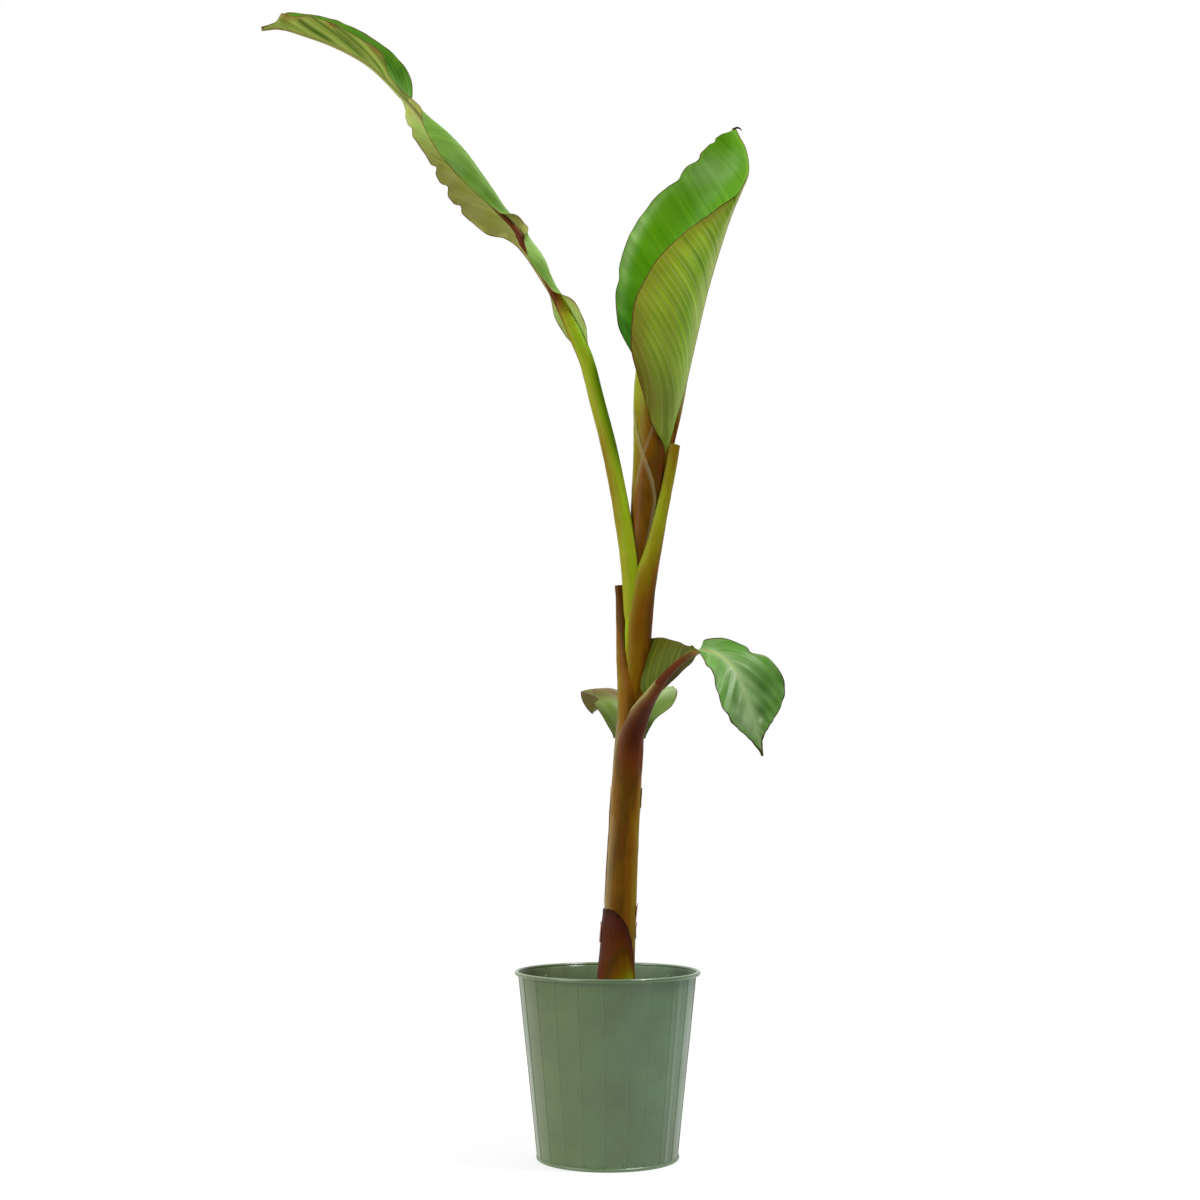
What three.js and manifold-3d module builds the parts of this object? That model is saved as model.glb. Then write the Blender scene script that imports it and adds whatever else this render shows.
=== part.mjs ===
// A young banana plant in a painted sheet-metal bucket pot.
// Millimetres, +Z up. The origin is the middle of the pot's flat underside and the plant faces -Y:
// the tall leaf leans out to -X, the rolled leaf and the drooping leaf stand on the +X side.
import * as THREE from 'three';
import { LoftGeometry } from 'three/addons/geometries/LoftGeometry.js';
import { mergeVertices } from 'three/addons/utils/BufferGeometryUtils.js';
import Module from 'manifold-3d';

const wasm = await Module();
wasm.setup();

// Clearance between neighbours
const GAP = 0.3;

// Pot: a folded bucket of thin sheet with a rolled rim and a rolled foot
const POT_HEIGHT = 245;
const POT_PANELS = 22;
const POT_STEPS_PER_PANEL = 2;
const FIRST_CREASE = THREE.MathUtils.degToRad(-3.2);
const RIM_RADIUS = 125;
const RIM_BEAD = 2.8;
const WALL_TOP_RADIUS = 119.8;
const WALL_FOOT_RADIUS = 93.8;
const FOOT_RADIUS = 95.2;
const FOOT_BEAD = 2.4;
const SHEET = 1.2;
const FLOOR_LEVEL = 3;
const FLOOR_CORNER = 1;
const CREASE = 0.5;

// Potting mix
const SOIL_LEVEL = 205;
const SOIL_MOUND = 6;
const MOUND_MARGIN = 8;
const MOUND_SLOPE = 30;

// Stem: centre line and radius by height
const STEM_FOOT = SOIL_LEVEL + SOIL_MOUND + GAP;
const STEM_TOP = 803;
const STEM_STEP = 45;
const STEM_LINE = [[200, 11.5], [338, 17.4], [473, 24.4], [554, 29.6], [678, 37], [747, 41], [860, 50]];
const STEM_RADIUS = [[200, 25.5], [245, 23.6], [338, 21.4], [473, 20.2], [540, 20], [590, 18.6], [803, 17]];

// Leaf blades: every section is at least a hundredth of its length thick
const BLADE = 3;
const BLADE_STEPS = 5;
const FOLD_FROM = 0.1;
const FOLD_TO = 0.75;
const SECTION_GAP = 0.5;

// Old sheaths on the stem
const FOOT_SHEATH_WALL = 3;
const DRIED_SHEATH_WALL = 2.5;
const SHEATH_STEPS = 14;
const SHEATH_LEVELS = 3;

const LIMB_SIDES = 20;
const LIMB_STEPS_PER_ROW = 2;
const TOWARDS_VIEWER = new THREE.Vector3(0, -1, 0);

const COLOURS = {
  pot: 0x7d927c, soil: 0x3b2c20, stem: 0x6b5320, maroon: 0x4a2418, stub: 0x7a6a1c,
  petiole: 0x7d8f22, leaf: 0x4f8a2c, underside: 0x8a9450, dried: 0x8a5140,
};
const PAINTED = 0.45;
const WAXY = 0.6;
const DRY = 0.85;

// Smooth value between rows of [place, value, ...], flat beyond the ends and with no overshoot
function blend(rows, place, column = 1) {
  const last = rows.length - 1;
  if (place <= rows[0][0]) return rows[0][column];
  if (place >= rows[last][0]) return rows[last][column];
  let k = 0;
  while (place > rows[k + 1][0]) k += 1;
  const slope = (i) => (rows[i + 1][column] - rows[i][column]) / (rows[i + 1][0] - rows[i][0]);
  const tangent = (i) => {
    if (i === 0 || i === last) return 0;
    const before = slope(i - 1);
    const after = slope(i);
    return before * after <= 0 ? 0 : (2 * before * after) / (before + after);
  };
  const span = rows[k + 1][0] - rows[k][0];
  const u = (place - rows[k][0]) / span;
  const share = 3 * u ** 2 - 2 * u ** 3;
  const swing = tangent(k) * (u ** 3 - 2 * u ** 2 + u) + tangent(k + 1) * (u ** 3 - u ** 2);
  return rows[k][column] * (1 - share) + rows[k + 1][column] * share + swing * span;
}

const stemCentre = (z) => new THREE.Vector3(blend(STEM_LINE, z), 0, z);

// Solids for joining and cutting
function toSolid(geometry) {
  const bare = new THREE.BufferGeometry().copy(geometry);
  bare.deleteAttribute('normal');
  bare.deleteAttribute('uv');
  const merged = mergeVertices(bare, 1e-4);
  return new wasm.Manifold(new wasm.Mesh({
    numProp: 3,
    vertProperties: new Float32Array(merged.attributes.position.array),
    triVerts: new Uint32Array(merged.index.array),
  }));
}

function toGeometry(solid) {
  const mesh = solid.getMesh();
  const geometry = new THREE.BufferGeometry();
  geometry.setAttribute('position', new THREE.BufferAttribute(mesh.vertProperties, 3));
  geometry.setIndex(new THREE.BufferAttribute(mesh.triVerts, 1));
  geometry.computeVertexNormals();
  return geometry;
}

// What is left of a piece outside its neighbours: the largest body, without loose slivers
function outside(geometry, neighbours) {
  let solid = toSolid(geometry);
  for (const neighbour of neighbours) solid = solid.subtract(toSolid(neighbour));
  const bodies = solid.decompose().sort((a, b) => b.volume() - a.volume());
  return toGeometry(bodies[0]);
}

// A tapering limb: rows of [x, y, z, half width across the view, half depth along it]
function limb(rows, grow = 0) {
  const curve = new THREE.CatmullRomCurve3(rows.map(([x, y, z]) => new THREE.Vector3(x, y, z)));
  const spans = rows.length - 1;
  const sizes = rows.map(([, , , across, deep], i) => [i, across, deep]);
  const steps = spans * LIMB_STEPS_PER_ROW;
  const sections = [];
  for (let i = 0; i <= steps; i += 1) {
    const row = i / LIMB_STEPS_PER_ROW;
    const along = curve.getTangent(row / spans);
    const centre = curve.getPoint(row / spans);
    if (i === 0) centre.addScaledVector(along, -grow);
    if (i === steps) centre.addScaledVector(along, grow);
    const right = new THREE.Vector3().crossVectors(along, TOWARDS_VIEWER).normalize();
    const near = new THREE.Vector3().crossVectors(right, along);
    const points = [];
    for (let j = 0; j < LIMB_SIDES; j += 1) {
      const angle = -(j / LIMB_SIDES) * 2 * Math.PI;
      points.push(centre.clone()
        .addScaledVector(right, (blend(sizes, row, 1) + grow) * Math.cos(angle))
        .addScaledVector(near, (blend(sizes, row, 2) + grow) * Math.sin(angle)));
    }
    sections.push(points);
  }
  return new LoftGeometry(sections, { capStart: true, capEnd: true });
}

// The stem between two levels, cut flat at both
function stemPiece(from, to, grow = 0) {
  const sections = [];
  const steps = Math.ceil((to - from) / STEM_STEP);
  for (let i = 0; i <= steps; i += 1) {
    const z = from + ((to - from) * i) / steps;
    const centre = stemCentre(z);
    const radius = blend(STEM_RADIUS, z) + grow;
    const points = [];
    for (let j = 0; j < LIMB_SIDES; j += 1) {
      const angle = (j / LIMB_SIDES) * 2 * Math.PI;
      points.push(new THREE.Vector3(centre.x + radius * Math.cos(angle), radius * Math.sin(angle), z));
    }
    sections.push(points);
  }
  return new LoftGeometry(sections, { capStart: true, capEnd: true });
}

// A leaf sheath on the stem: a wall that follows the stem from one bearing to another, with a slanted
// upper edge. Rows of [bearing in degrees from +X, lower level, upper level].
function sheath(rows, wall) {
  const sections = [];
  const first = rows[0][0];
  const last = rows[rows.length - 1][0];
  for (let i = 0; i <= SHEATH_STEPS; i += 1) {
    const bearing = first + ((last - first) * i) / SHEATH_STEPS;
    const angle = THREE.MathUtils.degToRad(bearing);
    const bottom = blend(rows, bearing, 1);
    const top = blend(rows, bearing, 2);
    const levels = [];
    for (let k = 0; k <= SHEATH_LEVELS; k += 1) levels.push(bottom + ((top - bottom) * k) / SHEATH_LEVELS);
    const point = (z, extra) => {
      const reach = blend(STEM_RADIUS, z) + extra;
      const centre = stemCentre(z);
      return new THREE.Vector3(centre.x + reach * Math.cos(angle), reach * Math.sin(angle), z);
    };
    const inner = levels.map((z) => point(z, 0));
    const outer = levels.map((z) => point(z, wall));
    sections.push([...inner, ...outer.reverse()]);
  }
  return new LoftGeometry(sections, { capStart: true, capEnd: true });
}

// A leaf blade. Each station is a cross-section on the midrib: its place and, for each half as seen from
// the upper face, [width, direction where it leaves the midrib, turn on the way to its margin] in
// millimetres and degrees. A direction of 0 is across the midrib to the right, 90 is towards the face.
function blade(stations, options) {
  const { from = 0, to = stations.length - 1, side = null, keel, stepsPerStation = 2 } = options;
  const curve = new THREE.CatmullRomCurve3(stations.map(({ at }) => new THREE.Vector3(...at)));
  const spans = stations.length - 1;
  const halves = {
    left: stations.map(({ left }, i) => [i, ...left]),
    right: stations.map(({ right }, i) => [i, ...right]),
  };
  const keels = Array.isArray(keel) ? keel : [[0, keel]];
  const steps = Math.round((to - from) * stepsPerStation);
  const sections = [];
  for (let i = 0; i <= steps; i += 1) {
    const row = from + ((to - from) * i) / steps;
    const along = curve.getTangent(row / spans);
    const right = side ? side.clone() : new THREE.Vector3().crossVectors(along, TOWARDS_VIEWER);
    const face = new THREE.Vector3().crossVectors(right.normalize(), along).normalize();
    const centre = curve.getPoint(row / spans);
    if (i === 0 && from > 0) centre.addScaledVector(along, SECTION_GAP / 2);
    if (i === steps && to < spans) centre.addScaledVector(along, -SECTION_GAP / 2);

    // Walk out over one half: the points of its middle surface and the turn at each
    const walk = (rows) => {
      const width = blend(rows, row, 1);
      const points = [];
      let across = 0;
      let lift = 0;
      for (let k = 0; k <= BLADE_STEPS; k += 1) {
        const turnAt = (s) => {
          const bend = THREE.MathUtils.smoothstep(s, FOLD_FROM, FOLD_TO);
          return THREE.MathUtils.degToRad(blend(rows, row, 2) + blend(rows, row, 3) * bend);
        };
        if (k > 0) {
          const mid = turnAt((k - 0.5) / BLADE_STEPS);
          across += (width / BLADE_STEPS) * Math.cos(mid);
          lift += (width / BLADE_STEPS) * Math.sin(mid);
        }
        points.push({ across, lift, turn: turnAt(k / BLADE_STEPS) });
      }
      return points;
    };
    const rightHalf = walk(halves.right);
    const leftHalf = walk(halves.left).map((p) => ({ ...p, turn: p.turn + Math.PI }));
    const middle = Math.atan2(
      Math.sin(rightHalf[0].turn) + Math.sin(leftHalf[0].turn),
      Math.cos(rightHalf[0].turn) + Math.cos(leftHalf[0].turn),
    );
    const rib = { across: 0, lift: 0, turn: middle, keel: blend(keels, row, 1) };
    const chain = [...leftHalf.slice(1).reverse(), rib, ...rightHalf.slice(1)];
    const place = ({ across, lift, turn }, offset) => centre.clone()
      .addScaledVector(right, across - Math.sin(turn) * offset)
      .addScaledVector(face, lift + Math.cos(turn) * offset);
    const upper = chain.map((p) => place(p, BLADE / 2));
    const lower = chain.map((p) => place(p, -BLADE / 2 - (p.keel ?? 0)));
    sections.push([...upper, ...lower.reverse()]);
  }
  return new LoftGeometry(sections, { capStart: true, capEnd: true });
}

// Pot wall as one closed outline turned about the axis, with a raised crease between the folded panels
function makePot() {
  const arc = (r, z, radius, start, end, steps) => Array.from({ length: steps + 1 }, (_, i) => {
    const angle = THREE.MathUtils.degToRad(start + ((end - start) * i) / steps);
    return new THREE.Vector2(r + radius * Math.cos(angle), z + radius * Math.sin(angle));
  });
  const rimCentre = RIM_RADIUS - RIM_BEAD;
  const footCentre = FOOT_RADIUS - FOOT_BEAD;
  const wallTop = POT_HEIGHT - 2 * RIM_BEAD;
  const wallFoot = 2 * FOOT_BEAD;
  const outline = [
    new THREE.Vector2(0, 0),
    new THREE.Vector2(footCentre, 0),
    ...arc(footCentre, FOOT_BEAD, FOOT_BEAD, -45, 45, 2),
    new THREE.Vector2(WALL_FOOT_RADIUS, wallFoot),
    new THREE.Vector2(WALL_TOP_RADIUS, wallTop),
    ...arc(rimCentre, POT_HEIGHT - RIM_BEAD, RIM_BEAD, -60, 180, 5),
    new THREE.Vector2(WALL_TOP_RADIUS - SHEET, wallTop),
    new THREE.Vector2(WALL_FOOT_RADIUS - SHEET, FLOOR_LEVEL + FLOOR_CORNER),
    new THREE.Vector2(WALL_FOOT_RADIUS - SHEET - FLOOR_CORNER, FLOOR_LEVEL),
    new THREE.Vector2(0, FLOOR_LEVEL),
  ];
  const segments = POT_PANELS * POT_STEPS_PER_PANEL;
  const geometry = new THREE.LatheGeometry(outline, segments, FIRST_CREASE);
  const position = geometry.attributes.position;
  for (let i = 0; i < position.count; i += 1) {
    const profile = outline[i % outline.length];
    const onCrease = Math.floor(i / outline.length) % POT_STEPS_PER_PANEL === 0;
    const onWall = profile.x === WALL_FOOT_RADIUS || profile.x === WALL_TOP_RADIUS;
    if (onCrease && onWall) {
      const scale = (profile.x + CREASE) / profile.x;
      position.setX(i, position.getX(i) * scale);
      position.setZ(i, position.getZ(i) * scale);
    }
  }
  return geometry.rotateX(Math.PI / 2);
}

// Potting mix: fills the pot to below its rim and rises a little round the stem
function makeSoil() {
  const wallBottom = FLOOR_LEVEL + FLOOR_CORNER;
  const wallTop = POT_HEIGHT - 2 * RIM_BEAD;
  const bore = (z) => {
    const share = (z - wallBottom) / (wallTop - wallBottom);
    return WALL_FOOT_RADIUS + (WALL_TOP_RADIUS - WALL_FOOT_RADIUS) * share - SHEET - 2 * GAP;
  };
  const bottom = wallBottom + GAP;
  const moundReach = STEM_RADIUS[0][1] + STEM_LINE[0][1] + MOUND_MARGIN;
  const outline = [
    new THREE.Vector2(0, bottom),
    new THREE.Vector2(bore(bottom), bottom),
    new THREE.Vector2(bore(SOIL_LEVEL), SOIL_LEVEL),
    new THREE.Vector2(moundReach + MOUND_SLOPE, SOIL_LEVEL + SOIL_MOUND / 2),
    new THREE.Vector2(moundReach, SOIL_LEVEL + SOIL_MOUND),
    new THREE.Vector2(0, SOIL_LEVEL + SOIL_MOUND),
  ];
  const segments = POT_PANELS * POT_STEPS_PER_PANEL;
  return new THREE.LatheGeometry(outline, segments, FIRST_CREASE).rotateX(Math.PI / 2);
}

// Limbs, lowest row first
const TUBE = [
  [44.6, 0, STEM_TOP - 4, 17, 17], [49.6, 0, 845, 18.5, 18], [56.4, 0, 915, 21.5, 20],
  [59.4, 0, 958, 22.5, 20], [60.5, 0, 1030, 23, 18], [63, 0, 1085, 21, 14], [66, 0, 1115, 10, 6],
];
const TALL_PETIOLE = [
  [36, -11, 680, 6, 8], [34, -10, 735, 12, 12], [29.8, -9, 802, 13, 12], [22.6, -6, 855, 13, 12],
  [14.6, -4, 903, 12, 11.5], [2, 0, 964, 11.4, 11], [-13.1, 4, 1024, 11, 10], [-30.5, 8, 1088, 10.4, 9.4],
];
const RIGHT_STUB = [
  [35.5, -8, 595, 16, 14], [39.5, -8, 645, 18, 15], [44, -9, 724, 19, 16], [50, -9, 768, 17.5, 15],
  [62, -9, 815, 13, 12], [74.5, -6, 870, 10, 9], [85.5, 0, 920, 8.6, 8], [92.8, 4, 960, 8.4, 8],
];
const LEFT_STUB = [
  [29, -4, 540, 17, 17], [29.5, -7, 580, 17, 15], [28.5, -7, 620, 17, 14.5], [24.8, -5, 665, 13.5, 13],
  [19.5, -2, 715, 8.5, 9], [14, 0, 767, 5, 6],
];
const DROOP_PETIOLE = [
  [25.6, -5, 490, 18, 17], [30.5, -8, 553, 19, 16], [40.5, -14, 582, 17, 14],
  [52, -28, 604, 13, 11], [64.5, -45.5, 621, 9, 8.5],
];
const BACK_PETIOLE = [[28.5, 8, 505, 16, 14], [30, 15, 530, 13, 11], [31, 27, 560, 8, 6]];

// Tall leaf: the right half hangs below the midrib, the left half folds over it twice towards the viewer
const TALL_LEAF = [
  { at: [-31, 8, 1090], left: [14, 20, 20], right: [8, 190, 0] },
  { at: [-64, 8, 1152], left: [21, 15, 25], right: [12, 186, 0] },
  { at: [-84, 8, 1190], left: [32, 10, 120], right: [5, 190, 0] },
  { at: [-104, 8, 1228], left: [42, 5, 172], right: [6, 200, 0] },
  { at: [-117, 8, 1254], left: [32, 0, 150], right: [14, 190, 0] },
  { at: [-131, 8, 1279], left: [16, 0, 20], right: [28, 182, -6] },
  { at: [-152, 8, 1301], left: [30, 0, 165], right: [44, 178, -12] },
  { at: [-186, 8, 1336], left: [56, 0, 178], right: [40, 178, -12] },
  { at: [-222, 8, 1377], left: [70, 0, 178], right: [30, 178, -10] },
  { at: [-244, 8, 1406], left: [60, 0, 172], right: [23, 182, -10] },
  { at: [-259, 8, 1430], left: [38, 6, 160], right: [24, 190, -10] },
  { at: [-279, 8, 1458], left: [16, 20, 40], right: [22, 215, 5] },
  { at: [-299, 9, 1480], left: [11, 40, -10], right: [40, 255, 60] },
  { at: [-316, 10, 1499], left: [15, 50, -20], right: [54, 268, 75] },
  { at: [-341, 11, 1523], left: [32, 60, -45], right: [57, 272, 78] },
  { at: [-371, 13, 1543], left: [35, 62, -45], right: [60, 272, 78] },
  { at: [-405, 15, 1560], left: [36, 62, -45], right: [54, 274, 76] },
  { at: [-439, 17, 1573], left: [32, 62, -54], right: [42, 276, 70] },
  { at: [-462, 18, 1581], left: [17, 60, -50], right: [36, 290, 50] },
  { at: [-480, 19, 1584], left: [8, 50, -30], right: [8, 290, 40] },
  { at: [-501, 20, 1582], left: [3, 30, 0], right: [3, 300, 0] },
];
const TALL_LOWER_END = 5;
const TALL_MIDDLE_END = 11;
const TALL_BASE_STEPS = 4;
const TALL_MIDDLE_STEPS = 3;
const TALL_KEEL = [[0, 7], [2, 4], [5, 3], [11, 2], [20, 1]];

// Rolled leaf: a scroll open to -X, its midrib up the outer edge, its near half turned back to the stem
const ROLLED_LEAF = [
  { at: [88, -1, 965], left: [24, -100, -70], right: [24, 100, 70] },
  { at: [94, -1, 993], left: [54, -100, -78], right: [50, 100, 84] },
  { at: [102, 0, 1028], left: [86, -102, -76], right: [82, 102, 84] },
  { at: [111, 0, 1070], left: [116, -108, -70], right: [108, 106, 84] },
  { at: [123, 0, 1122], left: [142, -118, -60], right: [118, 112, 80] },
  { at: [139, 0, 1188], left: [156, -126, -50], right: [99, 118, 74] },
  { at: [156, 0, 1246], left: [151, -130, -46], right: [64, 122, 66] },
  { at: [174, 0, 1300], left: [132, -132, -42], right: [22, 120, 50] },
  { at: [187, 0, 1331], left: [112, -134, -40], right: [6, 105, 10] },
  { at: [200, 0, 1361], left: [92, -138, -36], right: [4, 90, 0] },
  { at: [197, 0, 1394], left: [57, -142, -32], right: [3, 75, 0] },
  { at: [188, 0, 1412], left: [28, -146, -24], right: [3, 60, 0] },
  { at: [181, 0, 1426], left: [3, -150, 0], right: [3, 40, 0] },
];
const ROLLED_SIDE = new THREE.Vector3(0.95, 0, -0.31);
const ROLLED_KEEL = 2;

// Drooping leaf: it rises from the stem towards the viewer, folded up, then bends over and hangs
const DROOP_BEARING = THREE.MathUtils.degToRad(53);
const DROOP_SIDE = new THREE.Vector3(-Math.sin(DROOP_BEARING), -Math.cos(DROOP_BEARING), 0);
const DROOP_LEAF = [
  { at: [63, -44, 619], left: [7, 200, 0], right: [75, 98, 8] },
  { at: [79, -62, 639], left: [14, 200, 0], right: [58, 100, 12] },
  { at: [96, -82, 655], left: [15, 198, 0], right: [31, 96, 12] },
  { at: [112, -102, 665], left: [10, 190, -10], right: [13, 80, 0] },
  { at: [123, -116, 667], left: [15, 140, -10], right: [9, 0, 0] },
  { at: [135, -130, 664], left: [24, 124, -5], right: [16, -40, 0] },
  { at: [147, -144, 656], left: [34, 134, 8], right: [25, -30, 5] },
  { at: [161, -157, 640], left: [52, 150, 10], right: [32, -18, 5] },
  { at: [172, -166, 614], left: [66, 164, 8], right: [42, -4, 0] },
  { at: [180, -171, 590], left: [54, 172, 8], right: [47, 2, -4] },
  { at: [187, -172, 568], left: [27, 178, 5], right: [37, 4, -5] },
  { at: [193, -168, 545], left: [6, 178, 0], right: [14, 4, 0] },
  { at: [196, -165, 528], left: [2, 180, 0], right: [2, 0, 0] },
];
const DROOP_BEND = 4;
const DROOP_KEEL = [[0, 5], [DROOP_BEND, 4], [DROOP_BEND + 2, 2]];

// Back leaf: a short one that stands up behind the stem, then leans away with both halves raised
const BACK_SIDE = new THREE.Vector3(1, 0, 0);
const BACK_KEEL = 3;
const BACK_LEAF = [
  { at: [31, 26, 556], left: [24, 172, 0], right: [26, 8, 0] },
  { at: [31.5, 32, 576], left: [40, 170, -4], right: [38, 10, 4] },
  { at: [31.5, 42, 594], left: [58, 166, -6], right: [60, 5, 4] },
  { at: [31.5, 62, 607], left: [70, 164, -8], right: [70, 7, 6] },
  { at: [31, 92, 611], left: [66, 158, 0], right: [66, 17, 0] },
  { at: [30, 122, 607], left: [48, 158, 5], right: [48, 22, -5] },
  { at: [29, 146, 588], left: [22, 164, 5], right: [22, 16, -5] },
  { at: [28, 160, 568], left: [3, 170, 0], right: [3, 10, 0] },
];

const plant = new THREE.Group();
plant.name = 'potted_banana_plant';

function add(name, geometry, color, roughness = WAXY) {
  const mesh = new THREE.Mesh(geometry, new THREE.MeshStandardMaterial({ color, roughness }));
  mesh.name = name;
  plant.add(mesh);
}

add('pot', makePot(), COLOURS.pot, PAINTED);
add('soil', makeSoil(), COLOURS.soil, DRY);

const stem = stemPiece(STEM_FOOT, STEM_TOP);
const stemClear = stemPiece(STEM_FOOT - GAP, STEM_TOP + GAP, GAP);
add('pseudostem', stem, COLOURS.stem);

// The leaf tube, petioles and cut stubs sit on the stem one over the other, each cut clear of those
// inside it
const wrapped = [stemClear];
for (const [name, rows, colour] of [
  ['rolled_leaf_tube', TUBE, COLOURS.underside],
  ['tall_leaf_petiole', TALL_PETIOLE, COLOURS.petiole],
  ['right_cut_petiole', RIGHT_STUB, COLOURS.stub],
  ['left_cut_sheath', LEFT_STUB, COLOURS.maroon],
  ['drooping_leaf_petiole', DROOP_PETIOLE, COLOURS.maroon],
  ['back_leaf_petiole', BACK_PETIOLE, COLOURS.stem],
]) {
  add(name, outside(limb(rows), wrapped), colour);
  wrapped.push(limb(rows, GAP));
}

add('tall_leaf_base', outside(
  blade(TALL_LEAF, { to: TALL_LOWER_END, keel: TALL_KEEL, stepsPerStation: TALL_BASE_STEPS }),
  [limb(TALL_PETIOLE, GAP)],
), COLOURS.petiole);
add('tall_leaf_middle', blade(TALL_LEAF, {
  from: TALL_LOWER_END, to: TALL_MIDDLE_END, keel: TALL_KEEL, stepsPerStation: TALL_MIDDLE_STEPS,
}), COLOURS.leaf);
add('tall_leaf_tip', blade(TALL_LEAF, { from: TALL_MIDDLE_END, keel: TALL_KEEL }), COLOURS.leaf);
add('rolled_leaf_blade', outside(
  blade(ROLLED_LEAF, { side: ROLLED_SIDE, keel: ROLLED_KEEL }),
  [limb(TUBE, GAP), limb(RIGHT_STUB, GAP)],
), COLOURS.leaf);
add('drooping_leaf_base', outside(
  blade(DROOP_LEAF, { side: DROOP_SIDE, to: DROOP_BEND, keel: DROOP_KEEL }),
  wrapped,
), COLOURS.underside);
add('drooping_leaf_blade', blade(DROOP_LEAF, {
  side: DROOP_SIDE, from: DROOP_BEND, keel: DROOP_KEEL,
}), COLOURS.leaf);
add('back_leaf_blade', outside(
  blade(BACK_LEAF, { side: BACK_SIDE, keel: BACK_KEEL }),
  wrapped,
), COLOURS.leaf);

// Old sheaths left on the stem: a cut one round its foot and a thin dried one up its back
add('foot_sheath', outside(sheath([
  [-200, STEM_FOOT, 300], [-180, STEM_FOOT, 326], [-120, STEM_FOOT, 326], [-70, STEM_FOOT, 312],
  [-25, STEM_FOOT, 268],
], FOOT_SHEATH_WALL), [stemClear]), COLOURS.maroon);
add('dried_back_sheath', outside(sheath([
  [-10, 345, 480], [30, 335, 488], [90, 335, 488], [150, 335, 488], [190, 345, 484],
], DRIED_SHEATH_WALL), wrapped), COLOURS.dried, DRY);

export default plant;
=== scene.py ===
import math
from functools import partial

import bpy
import numpy as np
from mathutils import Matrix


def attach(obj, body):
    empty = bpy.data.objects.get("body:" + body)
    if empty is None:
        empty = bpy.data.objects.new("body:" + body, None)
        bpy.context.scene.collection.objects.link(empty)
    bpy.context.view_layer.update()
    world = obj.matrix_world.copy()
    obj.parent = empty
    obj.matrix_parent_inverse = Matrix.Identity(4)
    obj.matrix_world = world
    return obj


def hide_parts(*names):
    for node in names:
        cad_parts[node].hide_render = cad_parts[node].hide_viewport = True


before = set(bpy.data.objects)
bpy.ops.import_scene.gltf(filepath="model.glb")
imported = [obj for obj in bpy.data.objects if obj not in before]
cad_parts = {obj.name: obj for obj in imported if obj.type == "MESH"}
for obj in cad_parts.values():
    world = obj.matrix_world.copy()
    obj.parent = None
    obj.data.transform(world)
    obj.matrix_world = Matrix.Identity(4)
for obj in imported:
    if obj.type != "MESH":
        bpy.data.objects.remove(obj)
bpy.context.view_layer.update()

# The pot is a bucket of thin steel sheet, folded lengthwise into narrow panels, with a rolled rim and foot.
# A lap seam at the right of the front closes the sheet, and two small rivets show inside below the rim.
# It is sprayed inside and out with satin sage green paint.
MM = 0.001
UP = np.array([0.0, 0.0, 1.0])
POT_HEIGHT = 245.0
RIM_RADIUS = 125.0
RIM_BEAD = 2.8
RIM_ARC = (-130, 200, 16)
FOOT_RADIUS = 95.2
FOOT_BEAD = 2.4
FOOT_ARC = (-70, 65, 8)
WALL_TOP_RADIUS = 119.8
WALL_FOOT_RADIUS = 93.8
WALL_TOP = POT_HEIGHT - 2 * RIM_BEAD
WALL_FOOT = 2 * FOOT_BEAD
WALL_ROWS = 22
SHEET = 1.2
POT_FLOOR = 3.0
FLOOR_MIDDLE = 70.0
BASE_RECESS = [(80, 0.6), (90, 0.6), (91, 0)]
PANELS = 22
POT_COLUMNS = 12 * PANELS
FIRST_CREASE = -3.2
PANEL_FLATNESS = 0.4
CREASE_WIDTH = 1.7
CREASE_SINK = 0.3
SEAM_TURNS = (50.4, 54.8)
SEAM_LIFT = 0.9 * np.array([0, 0.8, 1, 1, 0.7, 1, 1, 0.8, 0])
SEAM_SINK = 0.4
RIVET_RADIUS = 2.4
RIVET_HEIGHT = 229.0
RIVET_TURNS = np.array([-133.0, 133.0])
RIVET_DOME = ((0.8, -0.6), (1.0, 0.3), (0.9, 0.9), (0.6, 1.4), (0.25, 1.6))
# How far the paint is rubbed pale, and dulled at the foot; along the top of the rim the paleness is partly
# a painted highlight
RIM_WEAR = 0.75
FOOT_WEAR = 0.3
LINING_WEAR = 0.08
SEAM_WEAR = 0.4
RIVET_WEAR = 0.9
CREASE_WEAR = 0.14
FOOT_DULL = 0.3


def linear(colour):
    """The linear RGBA that a colour socket takes, from an sRGB hex colour or a plain grey level."""
    if not isinstance(colour, str):
        return (colour, colour, colour, 1.0)
    channels = [int(colour[i:i + 2], 16) / 255 for i in (1, 3, 5)]
    return tuple(c / 12.92 if c <= 0.04045 else ((c + 0.055) / 1.055) ** 2.4 for c in channels) + (1.0,)


def add_node(tree, kind, sockets=None, stops=(), **settings):
    """Adds a node of a kind, or takes a node that is there. A socket that is given a node or an output is
    linked to it and any other value is set. Only the sockets that the settings leave in use are counted."""
    node = kind
    if isinstance(kind, str):
        node = tree.nodes.new(kind if "Node" in kind else "ShaderNode" + kind)
    for name, value in settings.items():
        setattr(node, name, value)
    for key, value in (sockets or {}).items():
        socket = node.inputs[key]
        if isinstance(key, str):
            socket = next(each for each in node.inputs if each.enabled and each.name == key)
        if isinstance(value, bpy.types.Node):
            value = next(each for each in value.outputs if each.enabled)
        if isinstance(value, bpy.types.NodeSocket):
            tree.links.new(value, socket)
        else:
            socket.default_value = linear(value) if socket.type == "RGBA" else value
    if stops:
        elements = node.color_ramp.elements
        elements.remove(elements[1])
        elements[0].position, elements[0].color = stops[0][0], linear(stops[0][1])
        for position, colour in stops[1:]:
            elements.new(position).color = linear(colour)
    return node


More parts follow.
